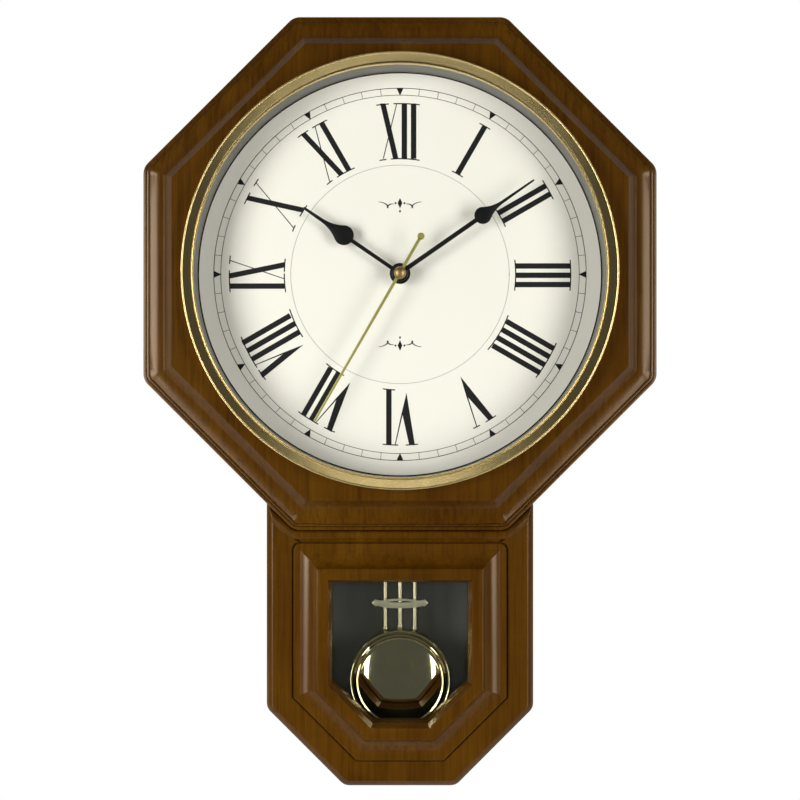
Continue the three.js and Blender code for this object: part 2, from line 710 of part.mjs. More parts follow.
function mountingBush() {
  const inside = MOVEMENT_FRONT_Z - MOVEMENT_WALL;
  return turnedRing([
    [BUSH_R, inside], [BUSH_R, BUSH_FRONT_Z - 0.5], [BUSH_R - 0.5, BUSH_FRONT_Z],
    [BUSH_BORE_R, BUSH_FRONT_Z], [BUSH_BORE_R, inside],
  ], 24);
}

const WASHER_R = 9;

function rubberWasher() {
  const front = DIAL_Z - DIAL_THICK - DIAL_BOARD_THICK;
  const bore = BUSH_R + 0.4;
  return turnedRing([
    [WASHER_R, MOVEMENT_FRONT_Z], [WASHER_R, front], [bore, front], [bore, MOVEMENT_FRONT_Z],
  ], 24);
}

const NUT_R = 6.4; // to the corners of the hexagon
const NUT_THICK = 2.6;

function mountingNut() {
  return cut(
    disc(0, 0, NUT_R, DIAL_Z, DIAL_Z + NUT_THICK, 6),
    disc(0, 0, BUSH_R + 0.1, DIAL_Z - 1, DIAL_Z + NUT_THICK + 1, 24),
  );
}

const CIRCUIT_HALF_WIDTH = 27;
const CIRCUIT_BOTTOM_Y = -38;
const CIRCUIT_TOP_Y = -25.6;
const CIRCUIT_BACK_Z = 40.1;
const CIRCUIT_THICK = 1.6;

function circuitBoard() {
  return block(-CIRCUIT_HALF_WIDTH, CIRCUIT_HALF_WIDTH, CIRCUIT_BOTTOM_Y, CIRCUIT_TOP_Y,
    CIRCUIT_BACK_Z, CIRCUIT_BACK_Z + CIRCUIT_THICK);
}

const ANTENNA_Y = -33;
const ANTENNA_Z = 50;
const ANTENNA_HALF = 27; // ferrite rod
const ANTENNA_R = 2.4;
const ANTENNA_COIL_HALF = 17;
const ANTENNA_COIL_R = 4;

function antennaCoil() {
  return join(
    bar(-ANTENNA_HALF, ANTENNA_HALF, ANTENNA_Y, ANTENNA_Z, ANTENNA_R, 12),
    bar(-ANTENNA_COIL_HALF, ANTENNA_COIL_HALF, ANTENNA_Y, ANTENNA_Z, ANTENNA_COIL_R, 20),
  );
}

const BATTERY_NIB_R = 2.6;
const BATTERY_NIB_LENGTH = 1.2;

function battery() {
  const end = BATTERY_LENGTH / 2;
  return join(bar(-end, end, BATTERY_Y, BATTERY_Z, BATTERY_R, 24),
    bar(end - 1, end + BATTERY_NIB_LENGTH, BATTERY_Y, BATTERY_Z, BATTERY_NIB_R, 16));
}

const CONTACT_THICK = 0.5;
const CONTACT_HALF = 5;
const SPRING_R = 4; // coiled contact at the battery's negative end
const BUTTON_CONTACT_R = 2.2;

function contact(side) {
  const x = side * (MOVEMENT_HALF_WIDTH - MOVEMENT_WALL - CONTACT_THICK);
  const leaf = block(x - CONTACT_THICK / 2, x + CONTACT_THICK / 2, BATTERY_Y - CONTACT_HALF,
    BATTERY_Y + CONTACT_HALF, BATTERY_Z - CONTACT_HALF, BATTERY_Z + CONTACT_HALF + 1);
  const nib = side < 0 ? 0 : BATTERY_NIB_LENGTH;
  const reach = BATTERY_LENGTH / 2 + nib + GAP;
  const spring = side < 0 ? SPRING_R : BUTTON_CONTACT_R;
  const nose = new THREE.CylinderGeometry(spring * 0.6, spring, Math.abs(x) - reach, 16);
  nose.rotateZ(side * Math.PI / 2);
  nose.translate(side * (Math.abs(x) + reach) / 2, BATTERY_Y, BATTERY_Z);
  return join(leaf, solid(nose));
}

const MAGNET_R = 3;
const COIL_R = 3.2;
const COIL_Y = -20.5;
const COIL_HALF = 6.8;
const MOTOR_X = 16.5; // middle of each motor, to either side of the hands' axis
const STATOR_HALF = 9.8;
const STATOR_RING = 4.8; // how far the stator's bridge reaches above and below its rotor
const STATOR_LEG = 2.6;
const STATOR_THICK = 1.2;
const MINUTE_STATOR_Z = 45;
const SECONDS_STATOR_Z = 46.6;

function motorStator(rotor, z0) {
  const z1 = z0 + STATOR_THICK;
  const legEnd = COIL_Y - 3.5;
  const bottom = rotor.y - STATOR_RING;
  const centre = Math.sign(rotor.x) * MOTOR_X;
  const left = centre - STATOR_HALF;
  const right = centre + STATOR_HALF;
  return cut(
    join(
      block(left, right, bottom, rotor.y + STATOR_RING, z0, z1),
      block(left, left + STATOR_LEG, legEnd, bottom + 1, z0, z1),
      block(right - STATOR_LEG, right, legEnd, bottom + 1, z0, z1),
    ),
    disc(rotor.x, rotor.y, MAGNET_R + 0.5, z0 - 1, z1 + 1, 24),
  );
}

function motorCoil(rotor, statorZ) {
  const centre = Math.sign(rotor.x) * MOTOR_X;
  return bar(centre - COIL_HALF, centre + COIL_HALF, COIL_Y, statorZ + STATOR_THICK / 2, COIL_R, 20);
}

const DRIVE_Y = -49; // the pendulum's drive coil, in front of the magnet on its lever
const DRIVE_COIL_R = 7;
const DRIVE_COIL_FRONT_Z = 44;

function driveCoil() {
  return turned([
    [0, MOVEMENT_BACK_Z + GAP], [DRIVE_COIL_R, MOVEMENT_BACK_Z + GAP], [DRIVE_COIL_R, DRIVE_COIL_FRONT_Z],
    [0, DRIVE_COIL_FRONT_Z],
  ], 24, 0, DRIVE_Y);
}

function pushButton(side) {
  const x = side * BUTTON_X;
  const backZ = MOVEMENT_BACK_Z - COVER_THICK - 2;
  return join(
    disc(x, BUTTON_Y, BUTTON_R, backZ, MOVEMENT_BACK_Z + 1, 16),
    disc(x, BUTTON_Y, BUTTON_R + 1, MOVEMENT_BACK_Z + GAP, MOVEMENT_BACK_Z + 1, 16),
  );
}

// ---------------------------------------------------------------- gear train
const ARBOR_BACK_Z = MOVEMENT_BACK_Z + GAP;
const MINUTE_WHEEL_Z = 50.6;
const CANNON_Z = 52.3;
const MINUTE_STAGE_Z = 48.4;
const HOUR_WHEEL_Z = 54.6;
const SECONDS_WHEEL_Z = 44.6;
const SECONDS_STAGE_Z = 42.4;
const WHEEL_THICK = 1.2;
const MAGNET_THICK = 2.4;
const ARBOR_R = 0.5;
const MINUTE_TUBE_R = 1.25; // coaxial tubes that carry the hands, and where they end
const MINUTE_BORE_R = 0.75;
const MINUTE_TUBE_Z = 72;
const HOUR_TUBE_R = 2.4;
const HOUR_BORE_R = 1.6;
const HOUR_TUBE_Z = 69;
const SECONDS_ARBOR_Z = 75;

const minutePhase = 0;
const secondsPhase = 0;
const minuteStageIn = meshed(minutePhase, WHEEL_TEETH, PINION_TEETH, LEFT);
const secondsStageIn = meshed(secondsPhase, SECONDS_TEETH, PINION_TEETH, 0);

function minuteWheel() {
  const tube = turnedRing([
    [MINUTE_TUBE_R, MINUTE_WHEEL_Z - 0.3], [MINUTE_TUBE_R, MINUTE_TUBE_Z],
    [MINUTE_BORE_R, MINUTE_TUBE_Z], [MINUTE_BORE_R, MINUTE_WHEEL_Z - 0.3],
  ], 16);
  const bore = disc(0, 0, MINUTE_BORE_R, MINUTE_WHEEL_Z - 1, CANNON_Z + 4, 16);
  return cut(join(
    tube,
    gear(0, 0, WHEEL_TEETH, minutePhase, MINUTE_WHEEL_Z, MINUTE_WHEEL_Z + WHEEL_THICK),
    gear(0, 0, CANNON_TEETH, 0, MINUTE_WHEEL_Z + 1, CANNON_Z + 1.6),
  ), bore);
}

function minuteReductionWheel() {
  const { x, y } = MINUTE_STAGE;
  return join(
    disc(x, y, ARBOR_R, ARBOR_BACK_Z, MOVEMENT_FRONT_Z - MOVEMENT_WALL - GAP, 12),
    gear(x, y, WHEEL_TEETH, 0, MINUTE_STAGE_Z, MINUTE_STAGE_Z + WHEEL_THICK),
    gear(x, y, PINION_TEETH, minuteStageIn, MINUTE_STAGE_Z + 1, MINUTE_WHEEL_Z + WHEEL_THICK + 0.2),
  );
}

function minuteRotor() {
  const { x, y } = MINUTE_ROTOR;
  const towards = -Math.PI + ROTOR_DROP;
  return join(
    disc(x, y, ARBOR_R, ARBOR_BACK_Z, MOVEMENT_FRONT_Z - MOVEMENT_WALL - GAP, 12),
    disc(x, y, MAGNET_R, MINUTE_STATOR_Z - 0.6, MINUTE_STATOR_Z - 0.6 + MAGNET_THICK, 20),
    gear(x, y, PINION_TEETH, meshed(0, WHEEL_TEETH, PINION_TEETH, towards), MINUTE_STAGE_Z - 0.2,
      MINUTE_STAGE_Z + WHEEL_THICK + 0.2),
  );
}

function motionWheel() {
  const { x, y } = MOTION_STAGE;
  return join(
    disc(x, y, 0.6, CANNON_Z - 0.2, MOVEMENT_FRONT_Z - MOVEMENT_WALL - GAP, 12),
    gear(x, y, MOTION_TEETH, meshed(0, CANNON_TEETH, MOTION_TEETH, UP), CANNON_Z + 0.2, CANNON_Z + 1.4),
    gear(x, y, MOTION_PINION_TEETH, 0, CANNON_Z + 1.2, HOUR_WHEEL_Z + WHEEL_THICK + 0.2),
  );
}

function hourWheel() {
  const phase = meshed(0, MOTION_PINION_TEETH, HOUR_TEETH, -UP);
  const pipe = turnedRing([
    [HOUR_TUBE_R, HOUR_WHEEL_Z], [HOUR_TUBE_R, HOUR_TUBE_Z],
    [HOUR_BORE_R, HOUR_TUBE_Z], [HOUR_BORE_R, HOUR_WHEEL_Z],
  ], 24);
  const bore = disc(0, 0, HOUR_BORE_R, HOUR_WHEEL_Z - 1, HOUR_WHEEL_Z + 4, 24);
  return cut(join(pipe, gear(0, 0, HOUR_TEETH, phase, HOUR_WHEEL_Z, HOUR_WHEEL_Z + WHEEL_THICK)), bore);
}

function secondsWheel() {
  return join(
    disc(0, 0, ARBOR_R, SECONDS_WHEEL_Z - 0.4, SECONDS_ARBOR_Z, 12),
    gear(0, 0, SECONDS_TEETH, secondsPhase, SECONDS_WHEEL_Z, SECONDS_WHEEL_Z + WHEEL_THICK),
  );
}

function secondsReductionWheel() {
  const { x, y } = SECONDS_STAGE;
  return join(
    disc(x, y, ARBOR_R, ARBOR_BACK_Z, MINUTE_WHEEL_Z - 0.8, 12),
    gear(x, y, WHEEL_TEETH, 0, SECONDS_STAGE_Z, SECONDS_STAGE_Z + WHEEL_THICK),
    gear(x, y, PINION_TEETH, secondsStageIn, SECONDS_STAGE_Z + 1, SECONDS_WHEEL_Z + WHEEL_THICK + 0.2),
  );
}

function secondsRotor() {
  const { x, y } = SECONDS_ROTOR;
  return join(
    disc(x, y, ARBOR_R, ARBOR_BACK_Z, MINUTE_WHEEL_Z - 0.8, 12),
    disc(x, y, MAGNET_R, SECONDS_STATOR_Z - 0.6, SECONDS_STATOR_Z - 0.6 + MAGNET_THICK, 20),
    gear(x, y, PINION_TEETH, meshed(0, WHEEL_TEETH, PINION_TEETH, -ROTOR_DROP), SECONDS_STAGE_Z - 0.2,
      SECONDS_STAGE_Z + WHEEL_THICK + 0.2),
  );
}

// ---------------------------------------------------------------- hands
// A hand pointing up: a thin stem, a pear that starts as a round blob and tapers to a fine tip.
function spadeOutline(stemHalf, blobY, blobR, tipY, tipHalf) {
  const right = [point(stemHalf, 0), point(stemHalf, blobY - blobR)];
  const arcSteps = 5;
  for (let k = 0; k <= arcSteps; k += 1) {
    const angle = -Math.PI * 0.38 + (k / arcSteps) * Math.PI * 0.6;
    right.push(point(blobR * Math.cos(angle), blobY + blobR * Math.sin(angle)));
  }
  const shoulderY = blobY + blobR * 2.1;
  right.push(point(blobR * 0.42, shoulderY), point(blobR * 0.22, shoulderY + blobR), point(tipHalf, tipY));
  const left = right.map(({ x, y }) => point(-x, y)).reverse();
  return [...right, ...left];
}

function turnedHand(hand, clockwiseDegrees) {
  return hand.rotate([0, 0, -clockwiseDegrees]);
}

const BLADE_THICK = 0.8;
const HOUR_BLADE = { z: 67.4, stemHalf: 1.25, blobY: 43.6, blobR: 6.4, tipY: 75.1, tipHalf: 0.5 };
const HOUR_HUB_R = 6.7;
const MINUTE_BLADE = { z: 70.4, stemHalf: 1.45, blobY: 64.6, blobR: 5.5, tipY: 104.6, tipHalf: 0.6 };
const MINUTE_HUB_R = 5.2;
const SECOND_BLADE_Z = 73.6;
const SECOND_BLADE_THICK = 0.6;
const SECOND_LENGTH = 109.4;
const SECOND_TAIL = 26.8; // middle of the counterweight disc behind the axis
const SECOND_TAIL_R = 2.3;

// Domed boss at the middle of the second hand: [radius, z].
const BOSS_PROFILE = [[0, 77.2], [1.8, 76.9], [3.2, 76.1], [4, 74.8], [4, 73], [0, 73]];

function spadeBlade({ z, stemHalf, blobY, blobR, tipY, tipHalf }) {
  return plate(spadeOutline(stemHalf, blobY, blobR, tipY, tipHalf), z, z + BLADE_THICK);
}

function hourHand() {
  const hub = disc(0, 0, HOUR_HUB_R, HOUR_BLADE.z - 1, HOUR_TUBE_Z, 32);
  const bore = disc(0, 0, HOUR_TUBE_R + 0.05, HOUR_BLADE.z - 2, HOUR_TUBE_Z + 1, 24);
  return turnedHand(cut(join(spadeBlade(HOUR_BLADE), hub), bore), HOUR_ANGLE);
}

function minuteHand() {
  const hub = disc(0, 0, MINUTE_HUB_R, MINUTE_BLADE.z - 0.5, MINUTE_TUBE_Z, 32);
  const bore = disc(0, 0, MINUTE_TUBE_R + 0.05, MINUTE_BLADE.z - 1, MINUTE_TUBE_Z + 1, 16);
  return turnedHand(cut(join(spadeBlade(MINUTE_BLADE), hub), bore), MINUTE_ANGLE);
}

function secondHand() {
  const z0 = SECOND_BLADE_Z;
  const z1 = SECOND_BLADE_Z + SECOND_BLADE_THICK;
  const blade = [
    point(-1, 1 - SECOND_TAIL), point(1, 1 - SECOND_TAIL), point(1, 0),
    point(0.75, SECOND_LENGTH), point(-0.75, SECOND_LENGTH), point(-1, 0),
  ];
  const tail = disc(0, -SECOND_TAIL, SECOND_TAIL_R, z0, z1, 20);
  const hand = join(plate(blade, z0, z1), tail, turned(BOSS_PROFILE, 24));
  const bore = disc(0, 0, ARBOR_R + 0.05, z0 - 2, SECONDS_ARBOR_Z + 0.1, 12);
  return turnedHand(cut(hand, bore), SECOND_ANGLE);
}

// ---------------------------------------------------------------- pendulum
const LEVER_BACK_Z = 31.6;
const LEVER_FRONT_Z = 33.6;
const BAR_Y = -72;
const BAR_BACK_Z = LEVER_FRONT_Z + GAP;
const BAR_FRONT_Z = ROD_Z - ROD_R - 0.1;
const STUD_Y = BAR_Y + 8; // the stud on the lever that the pendulum hooks onto
const STUD_R = 1.3;
const STUD_HEAD_R = 2.4;

const LEVER_BORE_R = PIVOT_R + GAP;
const DRIVE_MAGNET_R = 4.2;

function pendulumLever() {
  const arm = [
    point(-4, BAR_Y + 3), point(4, BAR_Y + 3), point(6, DRIVE_Y), point(4.6, PIVOT_Y + 3),
    point(-4.6, PIVOT_Y + 3), point(-6, DRIVE_Y),
  ];
  const body = join(
    plate(arm, LEVER_BACK_Z, LEVER_FRONT_Z),
    disc(0, STUD_Y, STUD_R, LEVER_FRONT_Z - 0.5, BAR_FRONT_Z + 0.6, 16),
    disc(0, STUD_Y, STUD_HEAD_R, BAR_FRONT_Z + GAP, BAR_FRONT_Z + 1.3, 16),
  );
  return cut(body, disc(0, PIVOT_Y, LEVER_BORE_R, LEVER_BACK_Z - 1, LEVER_FRONT_Z + 1, 16));
}

function driveMagnet() {
  return disc(0, DRIVE_Y, DRIVE_MAGNET_R, LEVER_FRONT_Z, MOVEMENT_BACK_Z - COVER_THICK - 0.6, 24);
}

function pendulumTopBar() {
  const half = ROD_SPACING + 3.2;
  const shoulder = 5;
  const outline = rounded([
    point(-half, BAR_Y - 4), point(half, BAR_Y - 4), point(half, BAR_Y + 3), point(shoulder, BAR_Y + 12),
    point(-shoulder, BAR_Y + 12), point(-half, BAR_Y + 3),
  ], 1.5, 2);
  return cut(
    plate(outline, BAR_BACK_Z, BAR_FRONT_Z),
    disc(0, STUD_Y, STUD_R + GAP, BAR_BACK_Z - 1, BAR_FRONT_Z + 1, 16),
  );
}

const ROD_TOP_Y = BAR_Y - 2;
const FOOT_R = 2;

function rod(x) {
  const bottom = BOB_Y + Math.sqrt(BOB_R ** 2 - x ** 2) + FOOT_R * 1.05;
  const shaft = new THREE.CylinderGeometry(ROD_R, ROD_R, ROD_TOP_Y - bottom, 16);
  shaft.translate(x, (ROD_TOP_Y + bottom) / 2, ROD_Z);
  const foot = new THREE.SphereGeometry(FOOT_R, 14, 8);
  foot.translate(x, bottom, ROD_Z);
  return join(solid(shaft), solid(foot));
}

const CROSS_Y = -215.6;
const CROSS_HALF = 18.7; // to the tip of each arrow point
const CROSS_THICK = 1.4;

// Right half of the plate's edge, from the middle of its foot round to the middle of its top:
// [share of the half width, height above the plate's centre line].
const CROSS_EDGE = [
  [0, -3.5], [0.59, -3], [0.75, -2.2], [0.88, -2.2], [1, 0], [0.88, 2.4], [0.67, 1.6], [0.48, 2.4], [0, 3],
];
const LENS_EDGE = [[0, 0.1], [0.43, 0.6], [0, 1.8]];

function mirrored(edge) {
  const right = edge.map(([share, height]) => point(share * CROSS_HALF, CROSS_Y + height));
  const left = right.slice(1, -1).reverse().map(({ x, y }) => point(-x, y));
  return [...right, ...left];
}

// A flat plate with pointed ends, pierced by a slim lens shape.
function crossPlate() {
  const z0 = ROD_Z + ROD_R + 0.1;
  return cut(plate(mirrored(CROSS_EDGE), z0, z0 + CROSS_THICK), plate(mirrored(LENS_EDGE), z0 - 1, z0 + 3));
}

const BOB_PLATE_Z = 33.4; // back of the bob
const BOB_PLATE_THICK = 1.3;
const BOB_RIM_Z = 40;

// A spherical dome in a stepped rim: an outer roll, a groove and a raised band round the dome.
function bobShell() {
  const drop = (radius) => BOB_DOME_CURVE - Math.sqrt(BOB_DOME_CURVE ** 2 - radius ** 2);
  const dome = [0, 0.33, 0.6, 0.82, 1].map((share) => {
    const radius = share * BOB_DOME_R;
    return [radius, BOB_FRONT_Z - drop(radius)];
  });
  const back = BOB_PLATE_Z + BOB_PLATE_THICK + GAP;
  return turned([
    ...dome, [BOB_DOME_R + 0.9, BOB_RIM_Z + 2.6], [BOB_DOME_R + 3, BOB_RIM_Z + 1.6],
    [BOB_DOME_R + 4, BOB_RIM_Z], [BOB_R - 1.4, BOB_RIM_Z + 0.6], [BOB_R, BOB_RIM_Z - 0.6],
    [BOB_R, back], [0, back],
  ], 36, 0, BOB_Y);
}

function bobBack() {
  const neckHalf = 1.2;
  const neckTop = BOB_Y + BOB_R + 12;
  return join(
    disc(0, BOB_Y, BOB_R - 1, BOB_PLATE_Z, BOB_PLATE_Z + BOB_PLATE_THICK, 40),
    block(-neckHalf, neckHalf, BOB_Y, neckTop, BOB_PLATE_Z, BOB_PLATE_Z + BOB_PLATE_THICK - 0.1),
  );
}

// ---------------------------------------------------------------- assembly
const front = new THREE.Group();

function add(name, material, manifold) {
  const mesh = new THREE.Mesh(geometryOf(manifold), material());
  mesh.name = name;
  front.add(mesh);
}

add('head_frame', walnut, headFrame());
add('head_case', walnut, headCase());
add('back_panel', fibreboard, backPanel());
add('drop_front', walnut, dropFront());
add('window_frame', walnut, windowFrame());
add('window_glass', clear, windowGlass());
add('drop_case', walnut, dropCase());
add('drop_backboard', darkBoard, dropBackboard());
add('hanger_plate', steel, hangerPlate());
hangerScrewPlaces().forEach(([x, y], i) => {
  const headZ = PANEL_Z - HANGER_THICK - SCREW_HEAD_THICK;
  add(['hanger_screw_left', 'hanger_screw_right'][i], steel, screw(x, y, headZ, HANGER_SCREW_END));
});
add('wall_pad_left', rubber, wallPad(-1));
add('wall_pad_right', rubber, wallPad(1));
backScrewPlaces().forEach(([x, y], i) => {
  add(`back_screw_${i + 1}`, steel, screw(x, y, PANEL_Z - SCREW_HEAD_THICK, BACK_SCREW_END));
});

add('bezel', brass, bezel());
add('dial_glass', clear, disc(0, 0, GLASS_R, GLASS_Z, GLASS_Z + GLASS_THICK, RIM_SIDES));
add('glass_gasket', rubber, glassGasket());
add('reflector_ring', greyPlastic, reflectorRing());
add('dial', ivory, dial());
add('dial_board', fibreboard, dialBoard());

add('movement_case', blackPlastic, movementCase());
add('movement_cover', blackPlastic, movementCover());
add('mounting_bush', brass, mountingBush());
add('rubber_washer', rubber, rubberWasher());
add('mounting_nut', brass, mountingNut());
add('circuit_board', boardGreen, circuitBoard());
add('antenna_coil', copper, antennaCoil());
add('battery', batteryShell, battery());
add('contact_positive', steel, contact(1));
add('contact_negative', steel, contact(-1));
add('minute_motor_stator', steel, motorStator(MINUTE_ROTOR, MINUTE_STATOR_Z));
add('minute_motor_coil', copper, motorCoil(MINUTE_ROTOR, MINUTE_STATOR_Z));
add('seconds_motor_stator', steel, motorStator(SECONDS_ROTOR, SECONDS_STATOR_Z));
add('seconds_motor_coil', copper, motorCoil(SECONDS_ROTOR, SECONDS_STATOR_Z));
add('drive_coil', copper, driveCoil());
add('reset_button', whitePlastic, pushButton(-1));
add('set_button', whitePlastic, pushButton(1));

add('minute_wheel', whitePlastic, minuteWheel());
add('minute_reduction_wheel', whitePlastic, minuteReductionWheel());
add('minute_rotor', whitePlastic, minuteRotor());
add('motion_wheel', whitePlastic, motionWheel());
add('hour_wheel', whitePlastic, hourWheel());
add('seconds_wheel', whitePlastic, secondsWheel());
add('seconds_reduction_wheel', whitePlastic, secondsReductionWheel());
add('seconds_rotor', whitePlastic, secondsRotor());

add('hour_hand', blackPlastic, hourHand());
add('minute_hand', blackPlastic, minuteHand());
add('second_hand', brass, secondHand());

add('pendulum_lever', blackPlastic, pendulumLever());
add('drive_magnet', steel, driveMagnet());
add('pendulum_top_bar', brass, pendulumTopBar());
add('rod_left', brass, rod(-ROD_SPACING));
add('rod_middle', brass, rod(0));
add('rod_right', brass, rod(ROD_SPACING));
add('cross_plate', brass, crossPlate());
add('bob_shell', brass, bobShell());
add('bob_back', brass, bobBack());

front.rotation.x = Math.PI / 2;
front.position.z = -HOOK_Y;

const clock = new THREE.Group();
clock.add(front);

export default clock;
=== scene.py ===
"""Looks of an octagonal drop-dial pendulum wall clock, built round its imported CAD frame.

Shapes are drawn as seen from the front, in millimetres: x to the right, y up, z out from the wall,
with x = y = 0 on the axis of the hands. The matrix STAND puts them into the frame, in metres.
"""
import json
import math

import bmesh
import bpy
from mathutils import Matrix, Vector
from mathutils.geometry import delaunay_2d_cdt


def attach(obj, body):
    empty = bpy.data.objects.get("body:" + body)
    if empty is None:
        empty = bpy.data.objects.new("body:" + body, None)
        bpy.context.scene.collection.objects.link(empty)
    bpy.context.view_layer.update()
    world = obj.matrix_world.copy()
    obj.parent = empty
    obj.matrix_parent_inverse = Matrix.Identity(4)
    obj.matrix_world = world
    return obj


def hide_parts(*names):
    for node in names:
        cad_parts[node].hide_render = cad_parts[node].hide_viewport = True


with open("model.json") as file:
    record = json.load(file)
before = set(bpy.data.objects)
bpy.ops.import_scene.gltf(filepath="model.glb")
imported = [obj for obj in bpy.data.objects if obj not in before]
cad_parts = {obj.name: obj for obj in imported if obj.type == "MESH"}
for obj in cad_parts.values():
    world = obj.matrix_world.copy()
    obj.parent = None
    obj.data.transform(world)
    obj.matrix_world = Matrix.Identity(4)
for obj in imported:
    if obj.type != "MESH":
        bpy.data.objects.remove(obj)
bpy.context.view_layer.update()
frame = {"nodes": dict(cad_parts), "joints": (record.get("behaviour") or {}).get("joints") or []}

NODES = frame["nodes"]
SCENE = bpy.context.scene
MM = 0.001


def hands_height():
    """Height of the hands' axis in the frame, from the minute hand's joint."""
    joint = next(j for j in frame["joints"] if j["name"] == "minute_hand_turn")
    return joint["pos_m"][2]


AXIS_Z = hands_height()
STAND = Matrix(((MM, 0, 0, 0), (0, 0, -MM, 0), (0, MM, 0, AXIS_Z), (0, 0, 0, 1)))

# ------------------------------------------------------------------ sizes (mm)
HEAD_APOTHEM = 165
HEAD_BACK_Z = 50
HEAD_HOLE_R = 132.5
CORNER_R = 10
BOARD_CORNER_R = 8

DROP_HALF_WIDTH = 86.8
DROP_BOTTOM_Y = -332.2
DROP_CHAMFER = 50.5
DROP_FRONT_Z = 60
HEAD_GAP = 0.3

FRAME_HALF_WIDTH = 69
FRAME_TOP_Y = -173.8
FRAME_BOTTOM_Y = -314.4
FRAME_CHAMFER = 40.8
FRAME_STRIP = 4.5
COVE_WIDTH = 11.0
COVE_RISE = 7.9
COVE_START = 8
FRAME_FRONT_Z = 70
FRAME_TOP_CORNER_R = 4.6
STRIP_Z = 61.8
BOARD_HOLE_INSET = 20
OPENING_INSET = 24.9
REBATE_Z = 57.6
GLASS_INSET = 20.3
PANE_Z = (57.8, 59.9)

BEZEL_R = 137.95
LIP_R = 129.8
GLASS_R = 133.6
WALL_R = 130.7
DIAL_R = 138.5
DIAL_Z = 62
DIAL_HOLE_R = 4.4
PRINT_THICK = 0.05

MINUTE_ANGLE = 55.2
HOUR_ANGLE = 304.3
SECOND_ANGLE = 210

BOB_Y = -267.1
BOB_R = 33.9
DOME_R = 27.6
DOME_CURVE = 70
BOB_FRONT_Z = 47.2
ROD_SPACING = 9.88
ROD_Z = 38
ROD_R = 1.45
FOOT_R = 2
ROD_TOP_Y = -74
CROSS_Y = -215.6
CROSS_HALF = 18.7


# ------------------------------------------------------------------ outlines
CORNER_OFFSETS = (-1.25, -0.9, -0.6, -0.3, 0, 0.3, 0.6, 0.9, 1.25)
SIDE_STEPS = 12


def octagon_angles():
    """Directions to every point of the head's loops, closer together round each corner."""
    angles = []
    reach = CORNER_OFFSETS[-1]
    for side in range(8):
        corner = math.pi / 8 + side * math.pi / 4
        for offset in CORNER_OFFSETS:
            angles.append(corner + math.radians(offset))
        for step in range(1, SIDE_STEPS):
            angles.append(corner + math.radians(reach + (45 - 2 * reach) * step / SIDE_STEPS))
    return angles


HEAD_ANGLES = octagon_angles()


def octagon_radius(angle, apothem, corner_r):
    """Distance from the centre to a rounded octagon in one direction."""
    off_corner = angle % (math.pi / 4) - math.pi / 8
    flat = apothem / math.cos(math.pi / 8 - abs(off_corner))
    centre = (apothem - corner_r) / math.cos(math.pi / 8)
    under = corner_r ** 2 - (centre * math.sin(off_corner)) ** 2
    if under < 0:
        return flat
    return min(flat, centre * math.cos(off_corner) + math.sqrt(under))


def octagon_loop(inset, z):
    corner_r = max(CORNER_R - inset, 0.3)
    loop = []
    for angle in HEAD_ANGLES:
        radius = octagon_radius(angle, HEAD_APOTHEM - inset, corner_r)
        loop.append((radius * math.cos(angle), radius * math.sin(angle), z))
    return loop


def circle_loop(radius, z):
    return [(radius * math.cos(a), radius * math.sin(a), z) for a in HEAD_ANGLES]


def moved_in(outline, distance):
    """An anticlockwise outline with every side moved inwards."""
    points = [Vector(p) for p in outline]
    count = len(points)
    moved = []
    for i in range(count):
        before = (points[i] - points[i - 1]).normalized()
        after = (points[(i + 1) % count] - points[i]).normalized()
        normal_a = Vector((-before.y, before.x))
        normal_b = Vector((-after.y, after.x))
        bisector = normal_a + normal_b
        reach = distance * 2 / bisector.length_squared
        moved.append(points[i] + bisector * reach)
    return moved


def rounded(outline, radii, steps):
    """Every corner replaced by steps + 1 points along an arc of its own radius."""
    points = [Vector(p) for p in outline]
    count = len(points)
    out = []
    for i, corner in enumerate(points):
        radius = radii[i]
        before = (points[i - 1] - corner).normalized()
        after = (points[(i + 1) % count] - corner).normalized()
        half = before.angle(after, math.pi) / 2
        if radius <= 0 or half > math.radians(89):
            out += [corner.copy() for _ in range(steps + 1)]
            continue
        start = corner + before * (radius / math.tan(half))
        end = corner + after * (radius / math.tan(half))
        centre = corner + (before + after).normalized() * (radius / math.sin(half))
        a0 = math.atan2(start.y - centre.y, start.x - centre.x)
        a1 = math.atan2(end.y - centre.y, end.x - centre.x)
        turn = (a1 - a0 + math.pi) % (2 * math.pi) - math.pi
        for k in range(steps + 1):
            angle = a0 + turn * k / steps
            out.append(centre + Vector((math.cos(angle), math.sin(angle))) * radius)
    return out


def lifted(outline, z):
    return [(p[0], p[1], z) for p in outline]


def board_outline():
    """The drop's front board, whose top follows the underside of the head."""
    half = DROP_HALF_WIDTH
    apothem = HEAD_APOTHEM + HEAD_GAP
    diagonal = apothem * math.sqrt(2)
    shoulder_y = half - diagonal
    top_x = diagonal - apothem
    return [
        (-half + DROP_CHAMFER, DROP_BOTTOM_Y),
        (half - DROP_CHAMFER, DROP_BOTTOM_Y),
        (half, DROP_BOTTOM_Y + DROP_CHAMFER),
        (half, shoulder_y),
        (top_x, -apothem),
        (-top_x, -apothem),
        (-half, shoulder_y),
        (-half, DROP_BOTTOM_Y + DROP_CHAMFER),
    ]


def frame_outline():
    half = FRAME_HALF_WIDTH
    return [
        (-half + FRAME_CHAMFER, FRAME_BOTTOM_Y),
        (half - FRAME_CHAMFER, FRAME_BOTTOM_Y),
        (half, FRAME_BOTTOM_Y + FRAME_CHAMFER),
        (half, FRAME_TOP_Y),
        (-half, FRAME_TOP_Y),
        (-half, FRAME_BOTTOM_Y + FRAME_CHAMFER),
    ]


# ------------------------------------------------------------------ meshes
SAME_POINT = 1e-7
WELD = 2e-6
FLAT_WITHIN = 0.6
BEVEL_FROM = 28
COPY_SHARP = 35


